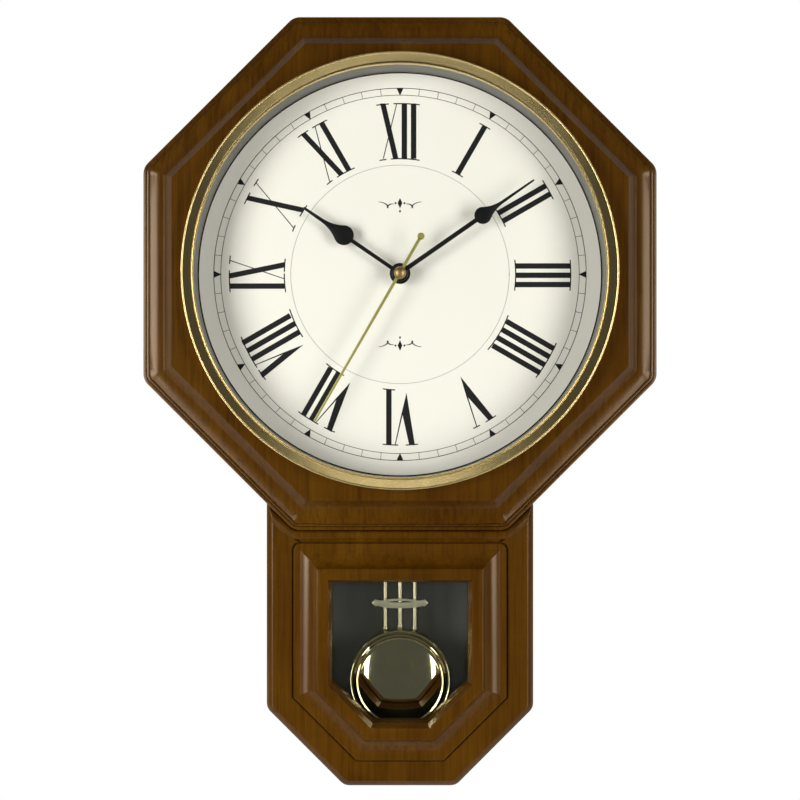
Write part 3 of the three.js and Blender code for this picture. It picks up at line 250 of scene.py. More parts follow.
def skin(loops, ring=False):
    """Quads between loops of equal length. The two ends are capped, or joined as a ring."""
    count = len(loops[0])
    levels = len(loops)
    verts = [p for loop in loops for p in loop]
    faces = []
    for level in range(levels if ring else levels - 1):
        low = level * count
        high = (level + 1) % levels * count
        for i in range(count):
            j = (i + 1) % count
            faces.append((low + i, low + j, high + j, high + i))
    if not ring:
        faces.append(tuple(reversed(range(count))))
        faces.append(tuple(range((levels - 1) * count, levels * count)))
    return verts, faces


def spun(profile, sides, point, ring=False):
    """A body turned about an axis; point gives a place from a profile point and a direction."""
    loops = []
    for radius, level in profile:
        turns = [2 * math.pi * k / sides for k in range(sides)]
        loops.append([point(radius, level, math.cos(turn), math.sin(turn)) for turn in turns])
    return skin(loops, ring)


def turned(profile, sides, x=0, y=0, ring=False):
    """A body whose axis stands out from the wall; profile is (radius, z) points."""
    return spun(profile, sides, lambda r, z, c, s: (x + r * c, y + r * s, z), ring)


def turned_upright(profile, sides, x, z):
    """A body with an upright axis; profile is (radius, y) points."""
    return spun(profile, sides, lambda r, y, c, s: (x + r * s, y, z + r * c))


def cleaned(mesh, weld, tidy):
    """Merges doubled points, tidies the faces and turns every face outwards."""
    bm = bmesh.new()
    bm.from_mesh(mesh)
    bmesh.ops.remove_doubles(bm, verts=bm.verts, dist=weld)
    tidy(bm)
    bmesh.ops.recalc_face_normals(bm, faces=bm.faces)
    bm.to_mesh(mesh)
    bm.free()


def drop_slivers(bm):
    bmesh.ops.dissolve_degenerate(bm, edges=bm.edges, dist=SAME_POINT)


def join_flats(bm):
    flat = math.radians(FLAT_WITHIN)
    bmesh.ops.dissolve_limit(bm, angle_limit=flat, verts=bm.verts, edges=bm.edges)


def added_object(name, data):
    obj = bpy.data.objects.new(name, data)
    SCENE.collection.objects.link(obj)
    return obj


def shaded(obj, sharp_degrees):
    obj.data.shade_smooth()
    obj.data.set_sharp_from_angle(angle=math.radians(sharp_degrees))


def place(obj, material, body, slot, *nodes):
    obj.data.materials.clear()
    obj.data.materials.append(material)
    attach(obj, body)
    if nodes:
        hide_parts(*nodes)
    return obj


def piece(name, shape, material, body, slot, *nodes, sharp=30, bevel=0):
    """One new object from (points, faces) in front-view millimetres."""
    verts, faces = shape
    mesh = bpy.data.meshes.new(name)
    mesh.from_pydata([STAND @ Vector(v) for v in verts], [], faces)
    cleaned(mesh, SAME_POINT, drop_slivers)
    obj = added_object(name, mesh)
    if bevel:
        bevelled(obj, bevel)
    shaded(obj, sharp)
    return place(obj, material, body, slot, *nodes)


def bevelled(obj, width):
    """Rounds the sharp edges of an object and keeps the result as its mesh."""
    modifier = obj.modifiers.new("edges", "BEVEL")
    modifier.width = width * MM
    modifier.segments = 2
    modifier.limit_method = "ANGLE"
    modifier.angle_limit = math.radians(BEVEL_FROM)
    bpy.context.view_layer.update()
    graph = bpy.context.evaluated_depsgraph_get()
    result = bpy.data.meshes.new_from_object(obj.evaluated_get(graph))
    obj.modifiers.clear()
    obj.data = result


def softened_copy(node, material, body, slot, width):
    """A copy of a CAD node with its sharp edges rounded, standing for that node."""
    source = NODES[node].data
    mesh = bpy.data.meshes.new(node + "_look")
    mesh.from_pydata([v.co for v in source.vertices], [], [tuple(p.vertices) for p in source.polygons])
    cleaned(mesh, WELD, join_flats)
    obj = added_object(node + "_look", mesh)
    bevelled(obj, width)
    shaded(obj, COPY_SHARP)
    return place(obj, material, body, slot, node)


def flat_slab(polygons, z0, z1, holes=()):
    """One closed slab over the union of flat polygons, less the holes."""
    points = []
    faces = []
    for polygon in list(polygons) + list(holes):
        corners = [Vector((p[0], p[1])) for p in polygon]
        area = sum(corners[i - 1].cross(corner) for i, corner in enumerate(corners))
        if area < 0:
            corners.reverse()
        faces.append(list(range(len(points), len(points) + len(corners))))
        points += corners
    found = delaunay_2d_cdt(points, [], faces, 0, 1e-4)
    flat = found[0]
    first_hole = len(polygons)
    count = len(flat)
    verts = [(p.x, p.y, z0) for p in flat] + [(p.x, p.y, z1) for p in flat]
    out = []
    open_edges = {}
    for triangle, origins in zip(found[2], found[5]):
        if not origins or max(origins) >= first_hole:
            continue
        a, b, c = triangle
        if (flat[b] - flat[a]).cross(flat[c] - flat[a]) < 0:
            a, c = c, a
        out += [(a + count, b + count, c + count), (c, b, a)]
        for edge in ((a, b), (b, c), (c, a)):
            if (edge[1], edge[0]) in open_edges:
                del open_edges[(edge[1], edge[0])]
            else:
                open_edges[edge] = True
    out += [(i, j, j + count, i + count) for i, j in open_edges]
    used = sorted({i for face in out for i in face})
    renumber = {old: new for new, old in enumerate(used)}
    return [verts[i] for i in used], [tuple(renumber[i] for i in face) for face in out]


# ------------------------------------------------------------------ materials
def added(tree, kind, **values):
    """A new shader node with input values given by socket name."""
    node = tree.nodes.new("ShaderNode" + kind)
    for key, value in values.items():
        node.inputs[key.replace("_", " ")].default_value = value
    return node


class Look:
    """A node material while it is being put together."""

    def __init__(self, name, color, roughness, metallic=0.0, **shader):
        self.material = bpy.data.materials.new(name)
        self.material.use_nodes = True
        self.tree = self.material.node_tree
        self.shader = self.tree.nodes["Principled BSDF"]
        self.set("Base Color", (*color, 1))
        self.set("Roughness", roughness)
        self.set("Metallic", metallic)
        for key, value in shader.items():
            self.set(key.replace("_", " "), value)
        self.coords = added(self.tree, "TexCoord").outputs["Object"]

    def set(self, socket, value):
        self.shader.inputs[socket].default_value = value

    def link(self, source, socket):
        self.tree.links.new(source, self.shader.inputs[socket])

    def scaled(self, x, y, z):
        node = added(self.tree, "Mapping", Scale=(x, y, z))
        self.tree.links.new(self.coords, node.inputs["Vector"])
        return node.outputs["Vector"]

    def from_axis(self, x, z):
        """Coordinates measured from a line that stands out from the wall."""
        node = added(self.tree, "Mapping", Location=(-x, 0, -z))
        self.tree.links.new(self.coords, node.inputs["Vector"])
        return node.outputs["Vector"]

    def noise(self, vector, scale, detail=3, rough=0.55, distortion=0.0):
        node = added(self.tree, "TexNoise", Scale=scale, Detail=detail, Roughness=rough)
        node.inputs["Distortion"].default_value = distortion
        self.tree.links.new(vector, node.inputs["Vector"])
        return node.outputs["Fac"]

    def math(self, kind, a, b=None):
        node = added(self.tree, "Math")
        node.operation = kind
        for slot, value in enumerate((a, b)):
            if value is None:
                continue
            if isinstance(value, (int, float)):
                node.inputs[slot].default_value = value
            else:
                self.tree.links.new(value, node.inputs[slot])
        return node.outputs[0]

    def vector(self, kind, a, b=None):
        """One step of vector arithmetic; each input is a socket, a triple or, to scale by, a signal."""
        node = added(self.tree, "VectorMath")
        node.operation = kind
        for value, socket in ((a, node.inputs[0]), (b, node.inputs["Scale" if kind == "SCALE" else 1])):
            if isinstance(value, tuple):
                socket.default_value = value
            elif value is not None:
                self.tree.links.new(value, socket)
        return node.outputs["Vector"]

    def ramp(self, fac, *stops):
        node = added(self.tree, "ValToRGB")
        elements = node.color_ramp.elements
        while len(elements) < len(stops):
            elements.new(0.5)
        for element, (place_at, color) in zip(elements, stops):
            element.position = place_at
            element.color = (*color, 1)
        self.tree.links.new(fac, node.inputs["Fac"])
        return node.outputs["Color"]

    def between(self, fac, low, high):
        return self.ramp(fac, (0.3, low), (0.7, high))

    def mixed(self, fac, a, b, kind="MIX"):
        node = added(self.tree, "Mix")
        node.data_type = "RGBA"
        node.blend_type = kind
        sockets = [s for s in node.inputs if s.type == "RGBA"]
        for socket, value in zip(sockets, (a, b)):
            if isinstance(value, tuple):
                socket.default_value = (*value, 1)
            else:
                self.tree.links.new(value, socket)
        if isinstance(fac, (int, float)):
            node.inputs[0].default_value = fac
        else:
            self.tree.links.new(fac, node.inputs[0])
        return [s for s in node.outputs if s.type == "RGBA"][0]

    def tinted(self, share, color, tint):
        return self.mixed(share, color, tint, "MULTIPLY")

    def spread(self, fac, low, high):
        """A 0 to 1 signal stretched to a range of values."""
        node = added(self.tree, "MapRange", To_Min=low, To_Max=high)
        self.tree.links.new(fac, node.inputs["Value"])
        return node.outputs["Result"]

    def bump(self, height, distance, strength):
        node = added(self.tree, "Bump", Distance=distance, Strength=strength)
        self.tree.links.new(height, node.inputs["Height"])
        self.link(node.outputs["Normal"], "Normal")

    def done(self, color, rough, relief):
        """Links colour, roughness as (signal, low, high) and relief as (signal, depth, strength)."""
        self.link(color, "Base Color")
        self.link(self.spread(*rough), "Roughness")
        self.bump(*relief)
        return self.material


LACQUER_TINT = (1.0, 0.79, 0.58, 1)
ROOM_PAINT = (0.07, 0.072, 0.066)
# The pendulum's room in metres: half its width, how far down it goes in the chamfers (measured
# sideways and down together), its floor and ceiling below the hands' axis, and its front.
ROOM_HALF_WIDTH = 0.0808
ROOM_CHAMFER = 0.36
ROOM_FLOOR = 0.3262
ROOM_CEILING = 0.1515
ROOM_FRONT_Y = -0.0505


def painted_inside(look):
    """1 on the faces round the pendulum's room, which are painted dark, and 0 elsewhere."""
    split = added(look.tree, "SeparateXYZ")
    look.tree.links.new(look.coords, split.inputs[0])
    aside = look.math("ABSOLUTE", split.outputs[0])
    below = look.math("SUBTRACT", AXIS_Z, split.outputs[2])
    limits = (
        look.math("LESS_THAN", aside, ROOM_HALF_WIDTH),
        look.math("LESS_THAN", look.math("ADD", aside, below), ROOM_CHAMFER),
        look.math("LESS_THAN", below, ROOM_FLOOR),
        look.math("GREATER_THAN", below, ROOM_CEILING),
        look.math("GREATER_THAN", split.outputs[1], ROOM_FRONT_Y),
    )
    inside = limits[0]
    for limit in limits[1:]:
        inside = look.math("MULTIPLY", inside, limit)
    return inside


def wood_look():
    """Walnut-stained veneer under satin lacquer, its grain upright on every piece."""
    look = Look("walnut", (0.07, 0.027, 0.0012), 0.24, Specular_IOR_Level=0.3, Specular_Tint=LACQUER_TINT)
    cloud = look.noise(look.scaled(1, 1, 0.35), 22, 2, 0.5, 0.6)
    streak = look.noise(look.scaled(1, 1, 0.035), 420, 4, 0.6, 0.3)
    fine = look.noise(look.scaled(1, 1, 0.02), 1700, 2, 0.6)
    figure = look.noise(look.scaled(0.35, 0.35, 1), 95, 2, 0.5, 0.8)
    broad = look.ramp(
        cloud,
        (0.3, (0.054, 0.0196, 0.0007)),
        (0.55, (0.072, 0.0275, 0.001)),
        (0.75, (0.09, 0.0375, 0.0017)),
    )
    lines = look.ramp(streak, (0.3, (0.62, 0.58, 0.5)), (0.52, (1, 1, 1)), (0.72, (1.2, 1.24, 1.35)))
    color = look.tinted(0.8, broad, lines)
    thin = look.ramp(fine, (0.32, (0.66, 0.63, 0.56)), (0.5, (1, 1, 1)), (0.68, (1.12, 1.13, 1.2)))
    color = look.tinted(0.5, color, thin)
    ripple = look.ramp(figure, (0.35, (0.9, 0.9, 0.88)), (0.65, (1.07, 1.07, 1.08)))
    color = look.tinted(0.55, color, ripple)
    color = look.mixed(painted_inside(look), color, ROOM_PAINT)
    look.link(color, "Base Color")
    look.link(look.spread(cloud, 0.2, 0.27), "Roughness")
    height = look.math("ADD", look.math("MULTIPLY", fine, 0.6), streak)
    look.bump(height, 0.00003, 0.25)
    return look.material


def charcoal_look():
    look = Look("charcoal_board", (0.03, 0.031, 0.029), 0.75)
    fleck = look.noise(look.coords, 900, 3)
    patch = look.noise(look.coords, 30, 2)
    color = look.between(patch, (0.1, 0.103, 0.094), (0.118, 0.121, 0.11))
    return look.done(color, (fleck, 0.65, 0.85), (fleck, 0.00008, 0.5))


def hardboard_look():
    look = Look("hardboard", (0.2, 0.11, 0.05), 0.75)
    fibre = look.noise(look.coords, 520, 5, 0.7, 1.2)
    patch = look.noise(look.coords, 28, 3)
    base = look.ramp(
        fibre,
        (0.3, (0.13, 0.067, 0.028)),
        (0.55, (0.22, 0.122, 0.055)),
        (0.75, (0.32, 0.19, 0.09)),
    )
    tint = look.between(patch, (0.85, 0.85, 0.85), (1.08, 1.06, 1.03))
    return look.done(look.tinted(1.0, base, tint), (patch, 0.6, 0.85), (fibre, 0.0001, 0.6))


BRUSH_SLOPE = 0.22


def brushed_brass_look():
    """Lacquered brass with fine brush marks that run outwards from the hands' axis."""
    look = Look("brushed_brass", (0.74, 0.6, 0.31), 0.26, 1.0, Anisotropic=0.95)
    flat = look.vector("MULTIPLY", look.from_axis(0, AXIS_Z), (1, 0, 1))
    outwards = look.vector("NORMALIZE", flat)
    around = look.vector("CROSS_PRODUCT", (0, 1, 0), outwards)
    look.link(around, "Tangent")
    streak = look.noise(outwards, 420, 5, 0.75)
    dull = look.noise(look.coords, 120, 3, 0.6)
    lines = look.between(streak, (0.64, 0.49, 0.2), (0.8, 0.62, 0.275))
    tint = look.between(dull, (0.95, 0.95, 0.93), (1, 1, 1))
    look.link(look.tinted(1.0, lines, tint), "Base Color")
    look.link(look.spread(dull, 0.24, 0.28), "Roughness")
    lean = look.math("MULTIPLY", look.math("SUBTRACT", streak, 0.5), BRUSH_SLOPE)
    surface = added(look.tree, "NewGeometry").outputs["Normal"]
    tilted = look.vector("ADD", surface, look.vector("SCALE", around, lean))
    look.link(look.vector("NORMALIZE", tilted), "Normal")
    return look.material


def polished_brass_look(name="polished_brass", rough=(0.045, 0.09), color=(0.81, 0.75, 0.44)):
    look = Look(name, color, rough[0], 1.0)
    smear = look.noise(look.coords, 120, 4, 0.6, 0.4)
    speck = look.noise(look.coords, 2400, 2, 0.6)
    dim = tuple(c * 0.93 for c in color)
    color = look.between(smear, dim, color)
    return look.done(color, (smear, rough[0], rough[1]), (speck, 0.000004, 0.3))


def gilt_look():
    """Flat yellow-gold lacquer of the second hand."""
    look = Look("gilt_lacquer", (0.34, 0.31, 0.085), 0.4, 0.35)
    grain = look.noise(look.coords, 1500, 3)
    color = look.between(grain, (0.3, 0.27, 0.07), (0.37, 0.335, 0.095))
    return look.done(color, (grain, 0.33, 0.48), (grain, 0.00001, 0.4))


def zinc_look():
    look = Look("zinc_plate", (0.55, 0.56, 0.57), 0.35, 1.0)
    spangle = look.noise(look.coords, 700, 4, 0.65)
    scuff = look.noise(look.scaled(4, 4, 1), 500, 3, 0.6)
    color = look.between(spangle, (0.42, 0.43, 0.44), (0.62, 0.63, 0.64))
    return look.done(color, (scuff, 0.25, 0.5), (scuff, 0.00002, 0.5))


def plastic_look(name, color, rough, texture_scale, depth):
    """Moulded plastic with a fine spark-eroded texture and faint tone changes."""
    look = Look(name, color, rough)
    grain = look.noise(look.coords, texture_scale, 4, 0.6)
    patch = look.noise(look.coords, 60, 2)
    dark = tuple(c * 0.86 for c in color)
    light = tuple(min(c * 1.1, 1) for c in color)
    color = look.between(patch, dark, light)
    return look.done(color, (grain, max(rough - 0.1, 0.05), min(rough + 0.1, 1)), (grain, depth, 0.5))


def floor_look():
    """Plain pale matt paint with a very faint tone change."""
    look = Look("pale_floor", (0.8, 0.79, 0.77), 0.75, Specular_IOR_Level=0.2)
    grain = look.noise(look.coords, 900, 3)
    tone = look.noise(look.coords, 3, 2)
    look.link(look.between(tone, (0.795, 0.785, 0.765), (0.805, 0.795, 0.775)), "Base Color")
    look.link(look.spread(grain, 0.7, 0.8), "Roughness")
    return look.material


def dial_look():
    """Matt ivory printed card."""
    look = Look("ivory_card", (0.845, 0.81, 0.712), 0.62, Specular_IOR_Level=0.3)
    tooth = look.noise(look.coords, 3200, 3)
    tone = look.noise(look.coords, 9, 2)
    color = look.between(tone, (0.833, 0.799, 0.7), (0.857, 0.822, 0.726))
    return look.done(color, (tooth, 0.56, 0.7), (tooth, 0.000006, 0.4))


def ink_look(name, color):
    look = Look(name, color, 0.5, Specular_IOR_Level=0.3)
    tooth = look.noise(look.coords, 2600, 3)
    pale = tuple(min(c * 1.35 + 0.002, 1) for c in color)
    color = look.ramp(tooth, (0.3, color), (0.75, pale))
    return look.done(color, (tooth, 0.42, 0.6), (tooth, 0.000004, 0.4))


def enamel_look():
    look = Look("black_enamel", (0.004, 0.004, 0.004), 0.3, Specular_IOR_Level=0.4)
    orange_peel = look.noise(look.coords, 1400, 2)
    color = look.between(orange_peel, (0.003, 0.003, 0.003), (0.006, 0.006, 0.0055))
    return look.done(color, (orange_peel, 0.25, 0.38), (orange_peel, 0.00001, 0.35))


def glass_look(name, density):
    """Clear flat glass: what is behind shows through, with a mirror sheen that grows at a slant."""
    material = bpy.data.materials.new(name)
    material.use_nodes = True
    tree = material.node_tree
    tree.nodes.clear()
    link = tree.links.new
    coords = added(tree, "TexCoord").outputs["Object"]
    smear = added(tree, "TexNoise", Scale=40, Detail=3)
    link(coords, smear.inputs["Vector"])
    rough = added(tree, "MapRange", To_Min=0.005, To_Max=0.03)
    link(smear.outputs["Fac"], rough.inputs["Value"])
    mirror = added(tree, "BsdfGlossy")
    link(rough.outputs["Result"], mirror.inputs["Roughness"])
    through = added(tree, "BsdfTransparent", Color=(0.985, 0.99, 0.987, 1))
    entering = added(tree, "Math")
    entering.operation = "SUBTRACT"
    entering.inputs[0].default_value = 1
    link(added(tree, "NewGeometry").outputs["Backfacing"], entering.inputs[1])
    sheen = added(tree, "Math")
    sheen.operation = "MULTIPLY"
    link(entering.outputs[0], sheen.inputs[0])
    link(added(tree, "Fresnel", IOR=density).outputs["Fac"], sheen.inputs[1])
    mix = added(tree, "MixShader")
    link(sheen.outputs[0], mix.inputs["Fac"])
    link(through.outputs["BSDF"], mix.inputs[1])
    link(mirror.outputs["BSDF"], mix.inputs[2])
    link(mix.outputs["Shader"], added(tree, "OutputMaterial").inputs["Surface"])
    return material


def winding_look():
    """Enamelled copper wire wound side by side across the clock."""
    look = Look("copper_winding", (0.5, 0.2, 0.07), 0.35, 0.7)
    wave = added(look.tree, "TexWave", Scale=900, Distortion=0.6)
    look.tree.links.new(look.coords, wave.inputs["Vector"])
    turns = wave.outputs["Fac"]
    color = look.ramp(turns, (0.1, (0.22, 0.07, 0.02)), (0.7, (0.6, 0.26, 0.09)))
    return look.done(color, (turns, 0.5, 0.28), (turns, 0.0001, 0.8))


def circuit_look():
    look = Look("circuit_board", (0.02, 0.14, 0.05), 0.3)
    cell = added(look.tree, "TexVoronoi", Scale=260)
    cell.feature = "DISTANCE_TO_EDGE"
    cell.distance = "EUCLIDEAN"
    look.tree.links.new(look.coords, cell.inputs["Vector"])
    track = look.ramp(cell.outputs["Distance"], (0.0, (0.05, 0.26, 0.1)), (0.1, (0.015, 0.11, 0.04)))
    color = track
    return look.done(color, (cell.outputs["Distance"], 0.25, 0.4), (cell.outputs["Distance"], 0.00003, 0.5))


BAND_FROM_X = 0.0135


def sleeve_look():
    """Plain shrink sleeve of the cell, with a pale band at its positive end."""
    look = Look("cell_sleeve", (0.03, 0.05, 0.09), 0.3, 0.3)
    split = added(look.tree, "SeparateXYZ")
    look.tree.links.new(look.coords, split.inputs[0])
    band = look.math("GREATER_THAN", split.outputs[0], BAND_FROM_X)
    grain = look.noise(look.coords, 420, 3)
    base = look.between(grain, (0.02, 0.032, 0.06), (0.034, 0.052, 0.095))
    color = look.mixed(band, base, (0.45, 0.36, 0.16))
    return look.done(color, (grain, 0.22, 0.36), (grain, 0.00002, 0.4))


WALNUT = wood_look()
CHARCOAL = charcoal_look()
HARDBOARD = hardboard_look()
BRUSHED_BRASS = brushed_brass_look()
MIRROR_BRASS = polished_brass_look()
SATIN_BRASS = polished_brass_look("satin_brass", (0.36, 0.46), (0.68, 0.65, 0.43))
GILT = gilt_look()
ZINC = zinc_look()
GREY_PLASTIC = plastic_look("grey_plastic", (0.15, 0.145, 0.125), 0.45, 1500, 0.00001)
BLACK_PLASTIC = plastic_look("black_plastic", (0.018, 0.018, 0.019), 0.5, 1800, 0.00003)
WHITE_PLASTIC = plastic_look("white_acetal", (0.72, 0.71, 0.66), 0.4, 1500, 0.00001)
RUBBER = plastic_look("black_rubber", (0.022, 0.022, 0.022), 0.85, 900, 0.00003)
NICKEL = polished_brass_look("nickel_plate", (0.2, 0.32), (0.42, 0.42, 0.43))
IVORY = dial_look()
# Black of the printing, also used for the painted shadow ring at the dial's edge.
INK_AND_SHADE = ink_look("black_ink_and_painted_shade", (0.0035, 0.0035, 0.003))
GREY_INK = ink_look("grey_ink", (0.3, 0.3, 0.28))
ENAMEL = enamel_look()
GLASS = glass_look("clear_glass", 1.25)
PANE = glass_look("window_glazing", 1.15)
ROD_BRASS = polished_brass_look("rod_brass", (0.26, 0.34), (0.37, 0.335, 0.2))
BOSS_BRASS = polished_brass_look("boss_brass", (0.42, 0.52), (0.36, 0.255, 0.105))
WINDING = winding_look()
CIRCUIT = circuit_look()
SLEEVE = sleeve_look()

# ------------------------------------------------------------------ wooden head
# Head moulding from its back edge to the flat panel: (distance in from the edge, z).
HEAD_PROFILE = [
    (0, HEAD_BACK_Z), (0, 66.3), (0.12, 66.8), (0.45, 67.25), (1.0, 67.45), (2.2, 67.55),
    (2.3, 67.3), (2.35, 66.4), (2.65, 66.4), (2.68, 69.1), (2.85, 69.45), (3.2, 69.6), (4.1, 69.7),
    (4.2, 69.5), (4.25, 68.7), (4.55, 68.7), (4.6, 71.0), (4.74, 71.32), (4.95, 71.48),
    (6.0, 71.86), (7.2, 72.24), (8.4, 72.57), (9.6, 72.85), (10.6, 73.03), (11.6, 73.14), (13.0, 73.2),
    (14.3, 73.22), (14.6, 73.3), (14.9, 73.55),
    (16.5, 75.15), (18.2, 77.1), (19.7, 79.05), (20.1, 79.6), (20.32, 79.86), (20.6, 80),
]
PANEL_Z = 80


def build_head():
    loops = [octagon_loop(inset, z) for inset, z in HEAD_PROFILE]
    loops.append(circle_loop(HEAD_HOLE_R, PANEL_Z))
    loops.append(circle_loop(HEAD_HOLE_R, HEAD_BACK_Z))
    piece("head_moulding", skin(loops, ring=True), WALNUT, "case", "walnut", "head_frame", sharp=24)
    softened_copy("head_case", WALNUT, "case", "walnut", 0.6)
    softened_copy("drop_case", WALNUT, "case", "walnut", 0.6)


# ------------------------------------------------------------------ wooden drop
EDGE_PROFILE = [
    (0, HEAD_BACK_Z), (0, 54.6), (0.05, 55.0), (0.25, 55.35), (3.3, 58.55), (3.6, 58.7), (3.68, 59.3),
    (3.8, 59.6), (4.05, 59.85), (4.35, 59.97), (4.7, DROP_FRONT_Z),
]


def board_loop(inset, z):
    """Board outline with all but its top corners rounded."""
    outline = moved_in(board_outline(), inset)
    radius = max(BOARD_CORNER_R - inset, 0.5)
    radii = [radius, radius, radius, 0.5, 0.5, 0.5, 0.5, radius]
    return lifted(rounded(outline, radii, 4), z)


# Shallow groove in the board round the foot of the window frame: (distance inside its edge, z).
GROOVE_PROFILE = [(-0.95, DROP_FRONT_Z), (-0.8, 59.7), (-0.72, 58.8), (-0.1, 58.8), (0.1, DROP_FRONT_Z)]


TOP_SPLIT = 4


def hole_loop(inset, z):
    """Window outline with the board's number of points."""
    six = moved_in(frame_outline(), inset)
    near = six[3].x - TOP_SPLIT
    eight = six[:4] + [Vector((near, six[3].y)), Vector((-near, six[3].y))] + six[4:]
    top = max(FRAME_TOP_CORNER_R - inset, 0)
    return lifted(rounded(eight, [0, 0, 0, top, 0, 0, top, 0], 4), z)


def build_board():
    loops = [board_loop(inset, z) for inset, z in EDGE_PROFILE]
    loops += [hole_loop(inset, z) for inset, z in GROOVE_PROFILE]
    loops.append(hole_loop(BOARD_HOLE_INSET, DROP_FRONT_Z))
    loops.append(hole_loop(BOARD_HOLE_INSET, REBATE_Z))
    loops.append(hole_loop(OPENING_INSET, REBATE_Z))
    loops.append(hole_loop(OPENING_INSET, HEAD_BACK_Z))
    piece("drop_board", skin(loops, ring=True), WALNUT, "case", "walnut", "drop_front", sharp=24)


# Bead under the head: (distance below the head's edge, z), drawn as a closed section.
BEAD_PROFILE = [
    (0.45, 59.4), (0.45, 60.9), (0.8, 61.5), (1.6, 61.95), (2.7, 62.1), (4.0, 61.85), (5.2, 61.3),
    (6.2, 60.6), (6.9, 59.95), (6.9, 59.4),
]
BEAD_END_X = 82.6
# How far along each side the bead's bend reaches: a base length and a share of the distance.
BEND_BASE = 1.5
BEND_SHARE = 1.25


def bead_line(distance, z):
    """A line that keeps its distance below the head's edge, rounded where the edge turns."""
    apothem = HEAD_APOTHEM + HEAD_GAP + distance
    diagonal = apothem * math.sqrt(2)
    corner_x = diagonal - apothem
    end = Vector((-BEAD_END_X, BEAD_END_X - diagonal))
    corner = Vector((-corner_x, -apothem))
    reach = BEND_BASE + distance * BEND_SHARE
    left = [end]
    steps = 8
    before = (end - corner).normalized()
    after = Vector((1, 0))
    for k in range(steps + 1):
        t = k / steps
        point = corner + before * (reach * (1 - t) ** 2) + after * (reach * t ** 2)
        left.append(point)
    right = [Vector((-p.x, p.y)) for p in reversed(left)]
    return lifted(left + right, z)


def build_bead():
    lines = [bead_line(distance, z) for distance, z in BEAD_PROFILE]
    sections = [[line[i] for line in lines] for i in range(len(lines[0]))]
    piece("drop_bead", skin(sections), WALNUT, "case", "walnut", sharp=32)


def cove_levels():
    """An arc that starts at a slight slope and steepens towards the raised flat."""
    start = math.radians(COVE_START)
    end = 2 * math.atan(COVE_RISE / COVE_WIDTH) - start
    radius = COVE_WIDTH / (math.sin(end) - math.sin(start))
    levels = []
    steps = 12
    for k in range(steps + 1):
        angle = start + (end - start) * k / steps
        inset = FRAME_STRIP + 0.15 + radius * (math.sin(angle) - math.sin(start))
        levels.append((inset, STRIP_Z + 0.05 + radius * (math.cos(start) - math.cos(angle))))
    return levels


def window_loop(inset, z):
    outline = moved_in(frame_outline(), inset)
    top = max(FRAME_TOP_CORNER_R - inset, 0.15)
    foot = max(0.8 - inset, 0.15)
    return lifted(rounded(outline, [foot, foot, foot, top, top, foot], 4), z)


def build_window():
    levels = [(0, DROP_FRONT_Z - 0.2), (0, 61.1), (0.18, 61.55), (0.55, STRIP_Z), (FRAME_STRIP, STRIP_Z)]
    levels += cove_levels()
    levels += [
        (15.75, 69.9), (15.95, FRAME_FRONT_Z), (22.5, FRAME_FRONT_Z), (22.85, 69.88), (23.0, 69.5),
        (24.7, 63.9), (OPENING_INSET, 63.5), (OPENING_INSET, DROP_FRONT_Z - 0.2),
    ]
    loops = [window_loop(inset, z) for inset, z in levels]
    piece("window_surround", skin(loops, ring=True), WALNUT, "case", "walnut", "window_frame", sharp=24)
    outline = lifted(rounded(moved_in(frame_outline(), GLASS_INSET), [0.5] * 6, 2), 0)
    pane = [[(x, y, z) for x, y, _ in outline] for z in PANE_Z]
    piece("window_pane", skin(pane), PANE, "case", "glass", "window_glass", bevel=0.2)
    softened_copy("drop_backboard", CHARCOAL, "case", "dark_board", 0.3)


# ------------------------------------------------------------------ bezel, glass and dial
BEZEL_PROFILE = [
    (BEZEL_R, PANEL_Z), (BEZEL_R, 86.5), (137.87, 87.05), (137.65, 87.45), (137.3, 87.65),
    (136.95, 87.6), (136.7, 87.4), (136.45, 87.32), (136.2, 87.3), (131.85, 86.97), (131.6, 86.96),
    (131.4, 87.0), (131.1, 87.5), (130.7, 87.9), (130.3, 88.0), (130.0, 87.86), (129.85, 87.5),
    (LIP_R, 86.9), (LIP_R, 85.6), (133.9, 85.6), (133.9, PANEL_Z),
]
REFLECTOR_PROFILE = [
    (131.9, DIAL_Z), (131.9, 81.7), (131.6, 82), (131.0, 82), (WALL_R, 81.7), (WALL_R, DIAL_Z),
]
RIM_SIDES = 256


def build_face():
    ring = turned(BEZEL_PROFILE, RIM_SIDES, ring=True)
    piece("bezel_ring", ring, BRUSHED_BRASS, "case", "brass", "bezel", sharp=40)
    wall = turned(REFLECTOR_PROFILE, RIM_SIDES, ring=True)
    piece("dial_wall", wall, GREY_PLASTIC, "case", "grey_plastic", "reflector_ring", sharp=40)
    back, front, soft = 83.6, 85.6, 0.3
    pane = [
        (0.5, back), (GLASS_R - soft, back), (GLASS_R, back + soft), (GLASS_R, front - soft),
        (GLASS_R - soft, front), (0.5, front),
    ]
    piece("dial_pane", turned(pane, 128), GLASS, "case", "glass", "dial_glass")
    seal = [(133.6, 82.1), (133.5, 83.6), (131.0, 83.6), (130.8, 83.4), (130.8, 82.2), (131.0, 82.05)]
    piece("pane_seal", turned(seal, 128, ring=True), RUBBER, "case", "rubber", "glass_gasket")
    card = [
        (DIAL_HOLE_R, DIAL_Z - 0.8), (DIAL_R, DIAL_Z - 0.8), (DIAL_R, DIAL_Z - 0.1), (DIAL_R - 0.1, DIAL_Z),
        (DIAL_HOLE_R + 0.1, DIAL_Z), (DIAL_HOLE_R, DIAL_Z - 0.1),
    ]
    piece("dial_card", turned(card, 128, ring=True), IVORY, "case", "dial_face", "dial")
    softened_copy("dial_board", HARDBOARD, "case", "fibreboard", 0.3)


# ------------------------------------------------------------------ printing on the dial, and a painted shadow ring at its edge
NUMERAL_TOP = 110.7
NUMERAL_FOOT = 74.4
SERIF_THICK = 0.75
BAR_HALF = 1.75
HAIR_HALF = 0.3
OVERHANG = 2.3

